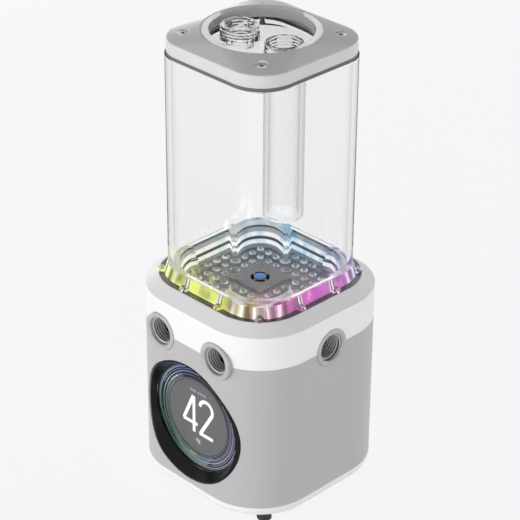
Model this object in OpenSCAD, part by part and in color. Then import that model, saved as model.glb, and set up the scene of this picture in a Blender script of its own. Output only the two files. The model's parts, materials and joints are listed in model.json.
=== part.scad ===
// Coolant pump reservoir: clear reservoir on a square pump and display housing.
// Millimetres, +Z up. The origin is the centre of the footprint, under the feet.

/* [Housing] */
// Width of the square body over its flats
body_w = 90; // [88:1:94]
// Half length of the body's flats, between the round corners
body_flat = 16.2; // [15.6:0.1:16.8]
// Thickness of the moulded housing walls
shell_t = 2.6; // [2.2:0.1:2.8]
// Height of the grey lower housing
housing_h = 73.2; // [72:0.2:76]
// Height of the white shoulder cover's upright side
shoulder_h = 16.2; // [16:0.1:17]
// Rise of the shoulder cover's sloped top
slope_h = 4.6; // [4.2:0.1:5]
// Inward run of the shoulder cover's sloped top
slope_in = 6.2; // [6:0.05:6.4]

/* [Base] */
// Height of the rubber feet below the base
foot_h = 5; // [4:0.5:8]
// Top radius of a foot
foot_r = 4.1; // [3.6:0.1:4.4]
// Distance of the feet from the body's sides
foot_side = 11; // [11:0.5:13]
// Distance of the feet from the body's front and back
foot_front = 15; // [15:0.5:17]
// Thickness of the base plate
base_t = 4.2; // [3.8:0.1:5]
// Bevel round the underside of the base plate
base_bevel = 1.16; // [0.6:0.02:1.6]
// Side of the square of mounting holes in the base
mount_pitch = 40; // [36:1:42]
// Radius of a mounting hole
mount_r = 2.15; // [2.1:0.05:2.4]

/* [Reservoir] */
// Half length of the reservoir's flats, between the round corners
tube_flat = 18; // [17.6:0.1:18.4]
// Wall of the reservoir
tube_t = 2.6; // [2.4:0.1:2.8]
// Length of the clear reservoir tube
tube_h = 101.3; // [80:1:160]
// Outer radius of the drop tube
drop_r = 8.75; // [8.6:0.05:8.9]
// Wall of the drop tube
drop_t = 2.25; // [2:0.05:2.4]
// Length of the drop tube
drop_h = 67; // [40:1:74]

/* [Top] */
// Height of the top frame's upright side
frame_h = 5.7; // [5.5:0.1:6.5]
// Rise from the frame's outer edge to its round opening
frame_rise = 3.4; // [3:0.1:4]
// Radius of the frame's round opening
opening_r = 26; // [25.6:0.1:26.4]
// Clear wall between the recessed dish and the opening
dish_wall = 3.2; // [2.8:0.1:3.3]
// Depth of the dish below the opening's rim
dish_h = 8; // [7.6:0.1:8.4]
// Distance of the frame screws from the frame's round corners
frame_screw_in = 7.53; // [7.3:0.01:7.8]
// Thickness of the gasket under the frame
gasket_t = 1.7; // [1.4:0.1:2]

/* [Light guide] */
// Height of the clear guide above the trim ring
guide_h = 5.2; // [4.6:0.1:6]
// Flare of the guide's outer wall, from top to bottom
guide_flare = 1.6; // [1.4:0.1:1.7]
// Thickness of the guide behind its straight bays
bay_wall = 2.4; // [2.3:0.1:2.6]
// Thickness of the guide at its corners
corner_wall = 4.6; // [4.4:0.1:4.8]
// Half length of the straight bays
bay_half = 14; // [12:0.5:15]
// Depth of each terrace's tread
tread = 0.7; // [0.5:0.05:0.8]
// Number of terraces
terraces = 3; // [3:1:3]
// Depth of the dimpled floor below the trim ring
floor_drop = 4; // [3.8:0.1:4.2]
// Width of the dark trim ring
trim_w = 3.2; // [3:0.1:3.3]

/* [Threaded ports] */
// Wall radius of a port bore, at the thread's root
port_r = 6.578; // [6.5:0.001:6.6]
// Depth of a port bore
port_h = 10; // [9:0.1:10]
// Radius of the collar round a side port
collar_r = 9; // [8.8:0.05:9]
// Stand of the collar's face beyond the body's flat
collar_out = 0.6; // [0.4:0.1:1]
// Distance of the two front ports from the centre plane
front_port_x = 17.7; // [17.5:0.1:18]

/* [Pump] */
// Radius of the impeller
impeller_r = 14; // [13:0.5:14.5]
// Number of impeller vanes
vanes = 7; // [5:1:9]
// Thickness of a vane
vane_t = 1.3; // [1.1:0.1:1.5]
// Height of the vanes
vane_h = 4.8; // [4:0.2:5]
// Radius of the intake above the impeller's eye
intake_r = 5; // [4.6:0.1:5.4]
// Clearance between the impeller and the volute's tongue
volute_gap = 2; // [1.6:0.1:2.4]
// Radius of the motor housing
motor_r = 27; // [26:0.5:27.5]
// Radius of the bearing post
post_r = 1.5; // [1.4:0.05:1.6]
// Running clearance between the post and the bearing
run_gap = 0.05; // [0.03:0.01:0.08]
// Number of stator teeth and coils
coils = 6; // [6:1:6]

/* [Display] */
// Housing left below the display's opening
display_low = 2.6; // [2.4:0.1:3]
// Housing left above the display's opening
display_high = 10.2; // [9.8:0.1:10.6]
// Width of the bezel round the display glass
bezel_w = 3.7; // [3.6:0.1:4]
// Depth of the glass behind the body's front flat
glass_back = 5; // [4.8:0.1:5.2]

/* [Hidden] */
$fn = 72;
eps = 0.01;
// Clearance of parts that slide together, and of screws in their holes
gap = 0.1;
// Shank radii of the screws
m3_r = 1.5;
m25_r = 1.25;
m24_r = 1.2;
m2_r = 1;
m16_r = 0.8;

cap_head_r = 1.9;
cap_head_h = 1.6;
pump_head_r = 2.6;
base_head_r = 2.8;
frame_head_r = 2.6;

// Heights, from the feet up
base_z = foot_h;
housing_z = base_z + base_t;
seam_z = housing_z + housing_h;
slope_z = seam_z + shoulder_h;
ring_z = slope_z + slope_h;
floor_z = ring_z - floor_drop;
guide_z = ring_z + guide_h;
tube_z = guide_z + tube_h;
frame_z = tube_z + gasket_t;
edge_z = frame_z + frame_h;
rim_z = edge_z + frame_rise;

// Rounded squares: half widths and corner radii, from the body inwards
body_a = body_w / 2;
body_r = body_a - body_flat;
lip_t = 1.6;
spigot_h = 1.6;
inner_a = body_a - shell_t;
hole_a = body_a - slope_in;
guide_a = hole_a - trim_w;
tube_a = guide_a - guide_flare;
tube_r = tube_a - tube_flat;
foot_x = body_a - foot_side;
foot_y = body_a - foot_front;

// Trim ring, light guide and light board
guide_r = tube_r + guide_flare;
inner_flat = tube_flat + 1;
bay_a = guide_a - bay_wall;
corner_a = guide_a - corner_wall;
trim_t = 3.8;
lip_z = ring_z - trim_t;
guide_bottom = lip_z - 4.2;
seal_t = 1.6;
seal_w = 2.2;
floor_t = 2;
plateau_z = floor_z - floor_t;
ledge_z = guide_bottom - seal_t;
ledge_a = corner_a + 1.6;
channel_z = ledge_z - seal_t;
led_n = 5;
led_pitch = 2 * tube_flat / (led_n - 1);
led_w = 2.8;
led_h = 1.2;
board_t = 1.6;
plateau_a = corner_a - tread * (terraces - 1) - gap - 1.2;

// Screws that hold the guide's tabs
tab_x = 11;
tab_r = 2;
tab_t = 0.8;
tab_gap = 1.1;
tab_out = guide_a + tab_gap;
tab_corner = tube_flat + (guide_r + tab_gap) / sqrt(2);

// Pump stack
pump_a = inner_a - 2.8;
pump_z = seam_z - 16.4;
volute_h = 7.4;
pump_pcd = pump_a - 4.2;
flange_r = pump_pcd - 0.9;
flange_t = 6;
can_flange_r = pump_pcd - 4.4;
can_flange_t = 1.4;
can_seal_r = can_flange_r - 1.8;
ring_r = 0.75;
can_r = 9.6;
can_t = 0.9;
can_h = 21;
can_z = pump_z - can_h;
motor_bore = motor_r - 4.9;
core_h = 14;
shoe_r = can_r + can_t;
tooth_w = 4;
coil_w = 7.4;
core_z = can_z + 4;
magnet_r = can_r - 0.6;
cap_z = can_z - 6;
pump_bolts = 6;
cap_pcd = motor_r - 2.4;
cap_t = 2;
post_x = body_flat + (pump_a - body_flat - 8.13) / sqrt(2);
post_wall = 2.5;
socket_r = collar_r - 1.1;
socket_in = body_a - 11.5;
passage_r = 4.75;
collar_back = body_a - 4;
port_face = body_a - 5.4;
outlet_r = can_seal_r - ring_r - passage_r - 1.13;
outlet = [front_port_x, -sqrt(outlet_r * outlet_r - front_port_x * front_port_x)];
volute_r = impeller_r + volute_gap;

// Display stack, measured from the front flat
display_r = (housing_h - display_low - display_high) / 2;
display_z = housing_z + display_low + display_r;
glass_r = display_r - bezel_w;
glass_y = glass_back - body_a;
glass_t = 1.5;
panel_t = 2;
bezel_back = glass_y + glass_t + panel_t;
flange_back_r = display_r + 1.8;
display_board_r = display_r - 0.6;
display_screw = display_r - 2.5;

// Rear board and its header
rear_y = inner_a;
standoff = 2.8;
standoff_r = 2.5;
rear_board_y = rear_y - standoff;
board_inset = 4;
rear_board_z = housing_z + 6;
rear_board_h = 42;
rear_board_w = 44;
header_w = 18;
header_h = 8;
header_z = rear_board_z + 8;
pin_x = [-6 : 3 : 6];
pin_r = 0.4;

// Bearing, magnet and impeller
ball_r = 1.2;
ball_z = pump_z + 4.2;
post_z = can_z + 0.6;
sleeve_r = 3.2;
sleeve_z = can_z + 3.2;
sleeve_top = ball_z - 0.7;
magnet_z = can_z + 4;
magnet_h = 15;
magnet_top = magnet_z + magnet_h;
skirt_r = 6;
hub_r = 4.4;
plate_z = pump_z + 0.4;
plate_t = 1.2;
vane_c = 9;
vane_arc = 9.5;

// Intake grate on the floor
grate_a = 10;
grate_t = 0.8;

// Top frame, cap and its ports
cap_bottom = frame_z - 3;
cap_flange_z = frame_z + 4;
dish_z = rim_z - dish_h;
boss_z = rim_z - 1.9;
boss_r = 8.1;
boss_flange_r = 9.2;
dish_r = opening_r - dish_wall;
top_port_x = dish_r - boss_flange_r - gap;
frame_a = tube_a - 0.3;
frame_r = tube_r + 0.3;
skirt_a = frame_a - 2.3;
frame_screw = frame_a - frame_r + (frame_r - frame_screw_in) / sqrt(2);
drop_top = cap_bottom - 4;
spigot_bore = port_r - 1;
screw_z = edge_z + 0.34 * frame_rise;

// ---- shared shapes ----

// Rounded square of half width a and corner radius r
module rsq(a, r) {
    square([2 * a, 2 * (a - r)], center = true);
    square([2 * (a - r), 2 * a], center = true);
    for (x = [-1, 1], y = [-1, 1])
        translate([x * (a - r), y * (a - r)]) circle(r);
}

// Upright rounded square prism from z0 to z1
module slab(a, r, z0, z1) {
    translate([0, 0, z0]) linear_extrude(z1 - z0) rsq(a, r);
}

// Rounded square that draws in by inset from z0 to z1
module taper(a, r, inset, z0, z1) {
    h = z1 - z0;
    side = [[-a, 0], [a, 0], [a - inset, h], [inset - a, h]];
    for (turn = [0, 90])
        translate([0, 0, z0]) rotate([90, 0, turn])
            linear_extrude(2 * (a - r), center = true) polygon(side);
    for (x = [-1, 1], y = [-1, 1])
        translate([x * (a - r), y * (a - r), z0]) cylinder(r1 = r, r2 = r - inset, h = h);
}

// Rounded square on the body's corner centres, so walls stay even
module body_slab(a, z0, z1) {
    slab(a, a - body_flat, z0, z1);
}

// Rounded square on the corner centres of the guide's inner forms
module inner_slab(a, z0, z1) {
    slab(a, a - inner_flat, z0, z1);
}

// Round bar along Y at x and z, from y0 to y1
module bar_y(r, x, z, y0, y1) {
    translate([x, y1, z]) rotate([90, 0, 0]) cylinder(r = r, h = y1 - y0);
}

// Round bar along X at y and z, from x0 to x1
module bar_x(r, y, z, x0, x1) {
    translate([x0, y, z]) rotate([0, 90, 0]) cylinder(r = r, h = x1 - x0);
}

// Copies at the four corners of a rectangle
module corners(x, y) {
    for (i = [-1, 1], j = [-1, 1]) translate([i * x, j * y, 0]) children();
}

// Copies on a circle
module around(n, r, start = 0) {
    for (i = [0 : n - 1]) rotate(start + i * 360 / n) translate([r, 0, 0]) children();
}

// Socket screw with its head's top at z = 0, head upwards
module socket_screw(shank_r, head_r, head_h, length) {
    difference() {
        union() {
            translate([0, 0, -head_h]) cylinder(r = head_r, h = head_h);
            translate([0, 0, -length]) cylinder(r = shank_r, h = length);
        }
        translate([0, 0, -head_h * 0.6]) cylinder(r = head_r * 0.5, h = head_h, $fn = 6);
    }
}

// Countersunk socket screw with its head's top at z = 0
module flat_screw(shank_r, head_r, length) {
    difference() {
        union() {
            translate([0, 0, shank_r - head_r]) cylinder(r1 = shank_r, r2 = head_r, h = head_r - shank_r);
            translate([0, 0, -length]) cylinder(r = shank_r, h = length);
        }
        translate([0, 0, -shank_r * 0.8]) cylinder(r = head_r * 0.42, h = shank_r, $fn = 6);
    }
}

// Pocket that the countersunk screw fits
module flat_hole(shank_r, head_r, length) {
    hr = head_r + gap;
    sr = shank_r + gap;
    translate([0, 0, sr - hr]) cylinder(r1 = sr, r2 = hr, h = hr - sr);
    cylinder(r = hr, h = 6);
    translate([0, 0, -length]) cylinder(r = sr, h = length);
}

// Places of the rear board's screws
module rear_places() {
    for (x = [-1, 1], z = [board_inset, rear_board_h - board_inset])
        translate([x * (rear_board_w / 2 - board_inset), 0, rear_board_z + z]) children();
}

// Places of the display's screws
module display_places() {
    translate([0, 0, display_z]) for (turn = [45 : 90 : 315]) rotate([0, turn, 0])
        translate([display_screw, 0, 0]) children();
}

// Places of the guide's screw tabs: two on each side and one at each corner
module tab_places() {
    for (turn = [0 : 90 : 270]) rotate(turn) {
        for (x = [-tab_x, tab_x]) translate([x, tab_out, 0]) children();
        translate([tab_corner, tab_corner, 0]) children();
    }
}

// ---- base ----

module feet() {
    color("#26282a") corners(foot_x, foot_y) difference() {
        rotate_extrude() polygon([[0, 0], [foot_r - 0.7, 0], [foot_r - 0.7, 1], [foot_r - 1.2, 1.6],
            [foot_r, base_z - 0.6], [foot_r, base_z], [0, base_z]]);
        translate([0, 0, -eps]) cylinder(r = 2.2, h = 1.8);
        cylinder(r = m24_r + gap, h = foot_h + eps);
    }
}

module foot_screws() {
    color("silver") corners(foot_x, foot_y) translate([0, 0, 0.5])
        rotate([180, 0, 0]) socket_screw(m24_r, 2, 1.28, foot_h + 2.3);
}

module base_plate() {
    bevel_z = base_z + base_t * 0.55;
    slot_w = 2.4;
    slot_l = 20;
    color("white") difference() {
        union() {
            mirror([0, 0, 1]) taper(body_a, body_r, base_bevel, -bevel_z, -base_z);
            body_slab(body_a, bevel_z, housing_z);
            body_slab(inner_a - gap, housing_z - eps, housing_z + spigot_h);
        }
        // Relief below the display's back flange
        bar_y(flange_back_r + gap, 0, display_z, -body_w, bezel_back + gap);
        corners(mount_pitch / 2, mount_pitch / 2)
            translate([0, 0, base_z - eps]) cylinder(r = mount_r, h = base_t + 2);
        corners(foot_x, foot_y) translate([0, 0, base_z - eps]) cylinder(r = m24_r + gap, h = 3);
        corners(post_x, post_x) translate([0, 0, base_z + 0.3]) rotate([180, 0, 0])
            flat_hole(m3_r, base_head_r, base_t + 2);
        // Air slots below the boards
        for (x = [-12 : 6 : 12])
            translate([x - slot_w / 2, -slot_l / 2, base_z - eps]) cube([slot_w, slot_l, base_t + 2]);
    }
}

module base_screws() {
    color("silver") corners(post_x, post_x)
        translate([0, 0, base_z + 0.3]) rotate([180, 0, 0]) flat_screw(m3_r, base_head_r, 12);
}

module chassis_posts() {
    bottom = housing_z + spigot_h;
    color("goldenrod") corners(post_x, post_x) difference() {
        translate([0, 0, bottom]) cylinder(r = post_wall, h = pump_z - bottom);
        translate([0, 0, bottom - eps]) cylinder(r = m3_r + gap, h = base_z + 12.6 - bottom);
    }
}

// ---- outer covers ----

// Holes for the three port collars
module collar_holes(r) {
    for (x = [-1, 1]) bar_y(r, x * front_port_x, seam_z, -body_w, -body_w / 4);
    bar_x(r, 0, seam_z, body_w / 4, body_w);
}

module lower_housing() {
    color("#c9c6c8") difference() {
        union() {
            difference() {
                body_slab(body_a, housing_z, seam_z);
                body_slab(inner_a, housing_z - eps, seam_z + eps);
            }
            // Lip that locates the shoulder cover
            difference() {
                union() {
                    body_slab(inner_a + eps, seam_z - 4, seam_z);
                    body_slab(inner_a - gap, seam_z - eps, seam_z + 2);
                }
                body_slab(inner_a - lip_t, seam_z - 5, seam_z + 3);
            }
            // Standoffs of the rear board
            rear_places() bar_y(standoff_r, 0, 0, rear_board_y, rear_y + eps);
        }
        bar_y(display_r + gap, 0, display_z, -body_w, -body_w / 4);
        collar_holes(collar_r + gap);
        // Rear opening for the cable header
        translate([-header_w / 2 - gap, rear_y - 1, header_z - gap])
            cube([header_w + 2 * gap, shell_t + 2, header_h + 2 * gap]);
        rear_places() bar_y(m2_r + gap, 0, 0, rear_board_y - 1, rear_y);
    }
}

module shoulder_cover() {
    color("white") difference() {
        union() {
            body_slab(body_a, seam_z, slope_z);
            taper(body_a, body_r, slope_in, slope_z, ring_z);
        }
        body_slab(inner_a, seam_z - eps, slope_z - 1.4);
        taper(inner_a, inner_a - body_flat, inner_a - hole_a, slope_z - 1.4 - eps, ring_z - 3);
        body_slab(hole_a, slope_z, ring_z + eps);
        collar_holes(collar_r + gap);
    }
}

// ---- display ----

module display_bezel() {
    color("#151618") difference() {
        union() {
            intersection() {
                bar_y(display_r, 0, display_z, -body_a, bezel_back);
                body_slab(body_a, housing_z, seam_z);
            }
            intersection() {
                bar_y(flange_back_r, 0, display_z, -body_a, bezel_back);
                body_slab(inner_a - gap, housing_z, seam_z);
            }
        }
        translate([0, -body_a - eps, display_z]) rotate([-90, 0, 0])
            cylinder(r1 = display_r - 0.8, r2 = glass_r + gap, h = glass_back + eps);
        bar_y(glass_r + gap, 0, display_z, glass_y - eps, glass_y + glass_t);
        bar_y(glass_r - 1.5, 0, display_z, glass_y, bezel_back + eps);
        display_places() bar_y(m16_r + gap, 0, 0, glass_y + 1, bezel_back + eps);
    }
}

module display_glass() {
    color("#20242a") bar_y(glass_r, 0, display_z, glass_y, glass_y + glass_t);
}

module display_panel() {
    color("#5a5e62") bar_y(glass_r - 1.7, 0, display_z, glass_y + glass_t, bezel_back);
}

module display_board() {
    color("#1d5a34") difference() {
        bar_y(display_board_r, 0, display_z, bezel_back, bezel_back + board_t);
        display_places() bar_y(m16_r + gap, 0, 0, bezel_back - 1, bezel_back + 3);
    }
}

module display_screws() {
    color("silver") display_places() translate([0, bezel_back + board_t + 1.2, 0])
        rotate([-90, 0, 0]) socket_screw(m16_r, 1.5, 1.2, 5);
}

// ---- rear electronics ----

module main_board() {
    color("#1d5a34") difference() {
        translate([-rear_board_w / 2, rear_board_y - board_t, rear_board_z])
            cube([rear_board_w, board_t, rear_board_h]);
        rear_places() bar_y(m2_r + gap, 0, 0, rear_board_y - 3, rear_board_y + 1);
    }
}

module board_screws() {
    color("silver") rear_places() translate([0, rear_board_y - board_t - 1.2, 0])
        rotate([90, 0, 0]) socket_screw(m2_r, 1.9, 1.2, 5);
}

module header_socket() {
    back = rear_board_y;
    front = body_a - 0.4;
    wall = 1;
    key_w = 4.4;
    color("#202224") difference() {
        translate([-header_w / 2, back, header_z]) cube([header_w, front - back, header_h]);
        translate([wall - header_w / 2, back + wall, header_z + wall])
            cube([header_w - 2 * wall, front, header_h - 2 * wall]);
        translate([-key_w / 2, back + 2 * wall, header_z + header_h - 1.5 * wall])
            cube([key_w, front, 2 * wall]);
        for (x = pin_x) bar_y(pin_r + gap / 2, x, header_z + header_h / 2, back - 1, back + 2);
    }
}

module header_pins() {
    color("gold") for (x = pin_x)
        bar_y(pin_r, x, header_z + header_h / 2, rear_board_y, rear_board_y + 4);
}

// ---- motor ----

module pump_cap() {
    color("#303236") difference() {
        union() {
            translate([0, 0, cap_z]) cylinder(r = motor_r, h = cap_t);
            translate([0, 0, cap_z + cap_t - eps]) cylinder(r = motor_bore - gap, h = 1 + eps);
        }
        translate([0, 0, cap_z + 1.2]) cylinder(r = motor_bore - 2, h = 3);
        translate([0, 0, cap_z - eps]) around(4, cap_pcd, 45) cylinder(r = m25_r + gap, h = 3);
    }
}

module cap_screws() {
    color("silver") translate([0, 0, cap_z - cap_head_h]) around(4, cap_pcd, 45)
        rotate([180, 0, 0]) socket_screw(m25_r, cap_head_r, cap_head_h, cap_head_h + cap_t + 4.4);
}

module pump_board() {
    color("#1d5a34") translate([0, 0, cap_z + cap_t + 1]) cylinder(r = motor_bore - 4 * gap, h = board_t);
}

// Flange with a round pad at each screw
module lobed_flange() {
    difference() {
        union() {
            circle(flange_r);
            around(pump_bolts, pump_pcd) circle(3);
        }
        around(pump_bolts, pump_pcd) circle(m3_r + gap);
    }
}

module pump_housing() {
    flange_z = pump_z - flange_t;
    color("#303236") difference() {
        union() {
            translate([0, 0, cap_z + cap_t]) cylinder(r = motor_r, h = flange_z - cap_z - cap_t + 1);
            translate([0, 0, flange_z]) linear_extrude(flange_t) lobed_flange();
        }
        translate([0, 0, cap_z]) cylinder(r = motor_bore, h = pump_z - cap_z);
        translate([0, 0, pump_z - can_flange_t]) cylinder(r = can_flange_r + gap, h = can_flange_t + 1);
        translate([0, 0, cap_z + 1]) around(4, cap_pcd, 45) cylinder(r = m25_r + gap, h = 6);
    }
}

module pump_screws() {
    head_h = 2 * m3_r;
    color("silver") translate([0, 0, pump_z - flange_t - head_h]) around(pump_bolts, pump_pcd)
        rotate([180, 0, 0]) socket_screw(m3_r, pump_head_r, head_h, flange_t + head_h + 6);
}

module stator_core() {
    shoe = 22;
    color("#6b6f73") translate([0, 0, core_z]) linear_extrude(core_h) {
        difference() {
            circle(motor_bore - gap);
            circle(motor_bore - 3.6);
        }
        for (i = [0 : coils - 1]) rotate(i * 360 / coils) {
            translate([shoe_r + 0.8, -tooth_w / 2]) square([motor_bore - shoe_r - 4, tooth_w]);
            intersection() {
                difference() {
                    circle(shoe_r + 1.5);
                    circle(shoe_r + gap);
                }
                polygon([[0, 0], motor_r * [cos(shoe), sin(shoe)], motor_r * [cos(shoe), -sin(shoe)]]);
            }
        }
    }
}

module stator_coils() {
    inner = shoe_r + 1.9;
    outer = motor_bore - 4.1;
    color("#b5652a") around(coils, inner) difference() {
        translate([0, -coil_w / 2, core_z - 1.4]) cube([outer - inner, coil_w, core_h + 2.6]);
        translate([-1, -tooth_w / 2 - gap, core_z - gap])
            cube([motor_bore, tooth_w + 2 * gap, core_h + 2 * gap]);
    }
}

module separator_can() {
    out = can_r + can_t;
    under = pump_z - can_flange_t;
    seat_r = 3;
    color("#8b8f94") difference() {
        rotate_extrude() polygon([[0, can_z], [out, can_z], [out, under], [can_flange_r, under],
            [can_flange_r, pump_z], [can_r, pump_z], [can_r, can_z + 1], [seat_r, can_z + 1],
            [seat_r, can_z + 2.5], [0, can_z + 2.5]]);
        translate([0, 0, post_z]) cylinder(r = post_r + 2 * eps, h = 4);
    }
}

module can_seal() {
    color("#1a1a1a") translate([0, 0, pump_z + ring_r])
        rotate_extrude() translate([can_seal_r, 0]) circle(ring_r, $fn = 24);
}

module bearing_post() {
    color("#e8e4da") difference() {
        translate([0, 0, post_z]) cylinder(r = post_r, h = ball_z - 0.8 - post_z);
        translate([0, 0, ball_z]) sphere(r = ball_r + run_gap);
    }
}

module bearing_ball() {
    color("#f2f0ea") translate([0, 0, ball_z]) sphere(r = ball_r);
}

// ---- rotor ----

module bearing_sleeve() {
    color("#3a3a3c") difference() {
        translate([0, 0, sleeve_z]) cylinder(r = sleeve_r, h = sleeve_top - sleeve_z);
        translate([0, 0, can_z]) cylinder(r = post_r + run_gap, h = ball_z - can_z);
    }
}

module rotor_magnet() {
    color("#4a4444") difference() {
        translate([0, 0, magnet_z]) cylinder(r = magnet_r, h = magnet_h);
        translate([0, 0, can_z]) cylinder(r = sleeve_r, h = magnet_top);
    }
}

// One backward-curved vane: an arc about a centre beside the shaft
module vane_shape() {
    intersection() {
        difference() {
            translate([vane_c, 0]) circle(vane_arc + vane_t / 2);
            translate([vane_c, 0]) circle(vane_arc - vane_t / 2);
        }
        difference() {
            circle(impeller_r - 0.2);
            circle(hub_r - 0.2);
        }
        translate([-impeller_r, 0]) square([2 * impeller_r, impeller_r]);
    }
}

module impeller() {
    vane_z = plate_z + plate_t;
    nose_z = plate_z + 7.4;
    cup_z = ball_z + ball_r + run_gap;
    cup_r = ball_r + 3 * run_gap;
    color("#2f7fd0") {
        // Skirt on the magnet, back plate, hub and rounded nose, bored for the bearing
        rotate_extrude() polygon([[sleeve_r, magnet_top], [skirt_r, magnet_top], [skirt_r, plate_z],
            [impeller_r, plate_z], [impeller_r, vane_z], [hub_r, vane_z], [hub_r, nose_z - 2],
            [hub_r - 0.8, nose_z - 0.8], [hub_r - 2.4, nose_z], [0, nose_z], [0, cup_z],
            [cup_r, cup_z], [cup_r, sleeve_top], [sleeve_r, sleeve_top]]);
        translate([0, 0, vane_z - 0.2]) linear_extrude(vane_h + 0.2)
            for (i = [0 : vanes - 1]) rotate(i * 360 / vanes) vane_shape();
    }
}

// ---- pump top ----

// The volute's spiral, with the outlet pocket at its wide end
module volute_shape() {
    start = atan2(outlet[1], outlet[0]);
    step = 5;
    polygon([for (a = [0 : step : 360])
        (volute_r + (outlet_r - volute_r) * a / 360) * [cos(start + a), sin(start + a)]]);
    translate(outlet) circle(passage_r);
}

module pump_top() {
    rim_a = pump_a - 1;
    color("#2c2e31") difference() {
        union() {
            body_slab(pump_a, pump_z, channel_z);
            inner_slab(ledge_a, channel_z - eps, ledge_z);
            inner_slab(plateau_a, ledge_z - eps, plateau_z);
            difference() {
                body_slab(pump_a, channel_z - eps, ledge_z + 1);
                body_slab(rim_a, channel_z - 1, ledge_z + 2);
            }
            corners(tab_corner, tab_corner)
                translate([0, 0, channel_z - eps]) cylinder(r = 2.2, h = guide_bottom - channel_z + eps);
            for (x = [-1, 1])
                bar_y(collar_r, x * front_port_x, seam_z, -port_face, -port_face + 6);
        }
        // Relief behind the display
        bar_y(flange_back_r + 0.6, 0, display_z, -body_a, bezel_back + board_t + 1.8);
        // Intake from the reservoir to the impeller's eye
        translate([0, 0, pump_z + 1]) cylinder(r = intake_r, h = plateau_z);
        translate([0, 0, pump_z - eps]) linear_extrude(volute_h + eps) volute_shape();
        // Front right port, fed by the volute
        translate([outlet[0], outlet[1], pump_z]) cylinder(r = passage_r, h = seam_z - pump_z);
        bar_y(passage_r, front_port_x, seam_z, -socket_in - 1, outlet[1]);
        // Front left and side ports, on the suction side
        bar_y(passage_r, -front_port_x, seam_z, -socket_in - 1, 0);
        bar_x(passage_r, 0, seam_z, -front_port_x, socket_in + 1);
        for (x = [-1, 1])
            bar_y(socket_r + gap, x * front_port_x, seam_z, -body_a, -socket_in);
        bar_x(socket_r + gap, 0, seam_z, socket_in, body_a);
        // Groove of the can's seal, screw holes and the guide's corner screws
        translate([0, 0, pump_z - eps]) difference() {
            cylinder(r = can_seal_r + ring_r + 0.15, h = 2 * ring_r + eps);
            translate([0, 0, -1]) cylinder(r = can_seal_r - ring_r - 0.15, h = 4);
        }
        translate([0, 0, pump_z - 1]) around(pump_bolts, pump_pcd) cylinder(r = m3_r + gap, h = 7.5);
        corners(tab_corner, tab_corner)
            translate([0, 0, guide_bottom - 7]) cylinder(r = m16_r + gap, h = 8);
    }
}

// One port collar along +Z, with z measured from the body's centre plane
module collar() {
    face = body_a + collar_out;
    edge = 0.4;
    lead_in = 0.6;
    rotate_extrude() polygon([[passage_r, socket_in], [socket_r, socket_in], [socket_r, collar_back],
        [collar_r, collar_back], [collar_r, face - edge], [collar_r - edge, face],
        [port_r + lead_in, face], [port_r, face - lead_in], [port_r, face - port_h],
        [passage_r, face - port_h]]);
}

module port_front_left() {
    color("#b9babb") translate([-front_port_x, 0, seam_z]) rotate([90, 0, 0]) collar();
}

module port_front_right() {
    color("#b9babb") translate([front_port_x, 0, seam_z]) rotate([90, 0, 0]) collar();
}

module port_side() {
    color("#b9babb") translate([0, 0, seam_z]) rotate([0, 90, 0]) collar();
}

// Seal between a collar's flange and the pump top
module port_seal() {
    translate([0, 0, port_face]) difference() {
        cylinder(r = collar_r - gap, h = collar_back - port_face);
        translate([0, 0, -1]) cylinder(r = socket_r + 0.05, h = 4);
    }
}

module port_seals() {
    color("#1a1a1a") {
        for (x = [-1, 1]) translate([x * front_port_x, 0, seam_z]) rotate([90, 0, 0]) port_seal();
        translate([0, 0, seam_z]) rotate([0, 90, 0]) port_seal();
    }
}

// ---- light guide and floor ----

module light_board() {
    color("#e9ebea") difference() {
        body_slab(pump_a - 1.3, channel_z, channel_z + board_t);
        inner_slab(ledge_a + 4 * gap, channel_z - 1, channel_z + 3);
        corners(tab_corner, tab_corner) translate([0, 0, channel_z - 1]) cylinder(r = 2.6, h = 4);
    }
}

module leds() {
    z = channel_z + board_t;
    reach = guide_a - 0.2;
    color("#fbfbe8") for (turn = [0 : 90 : 270]) rotate(turn) {
        for (i = [0 : led_n - 1])
            translate([(i - (led_n - 1) / 2) * led_pitch - led_w / 2, reach - led_w / 2, z])
                cube([led_w, led_w, led_h]);
        for (side = [-1, 1]) translate([tube_flat, tube_flat, z])
            rotate(45 + side * 24) translate([reach - tube_flat - led_w / 2, -led_w / 2, 0])
                cube([led_w, led_w, led_h]);
    }
}

module guide_seal() {
    color("#1a1a1a") difference() {
        inner_slab(ledge_a - 4 * gap, ledge_z, guide_bottom);
        inner_slab(ledge_a - seal_w, ledge_z - 1, guide_bottom + 1);
    }
}

// Outline of one terrace: straight bays that step out past the rounded
// corners, with a pointed rib beside each step
module terrace_outline(inset) {
    a = bay_a - inset;
    c = corner_a - inset;
    x = bay_half - inset;
    difference() {
        union() {
            rsq(c, c - inner_flat);
            for (turn = [0, 90]) rotate(turn) square([2 * x, 2 * a], center = true);
        }
        for (turn = [0 : 90 : 270], side = [-1, 1]) rotate(turn)
            polygon([[side * x, a + 1], [side * (x - 1.6), c - 1.1], [side * (x + 2.4), c],
                [side * (x + 2.4), a + 1]]);
    }
}

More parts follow.
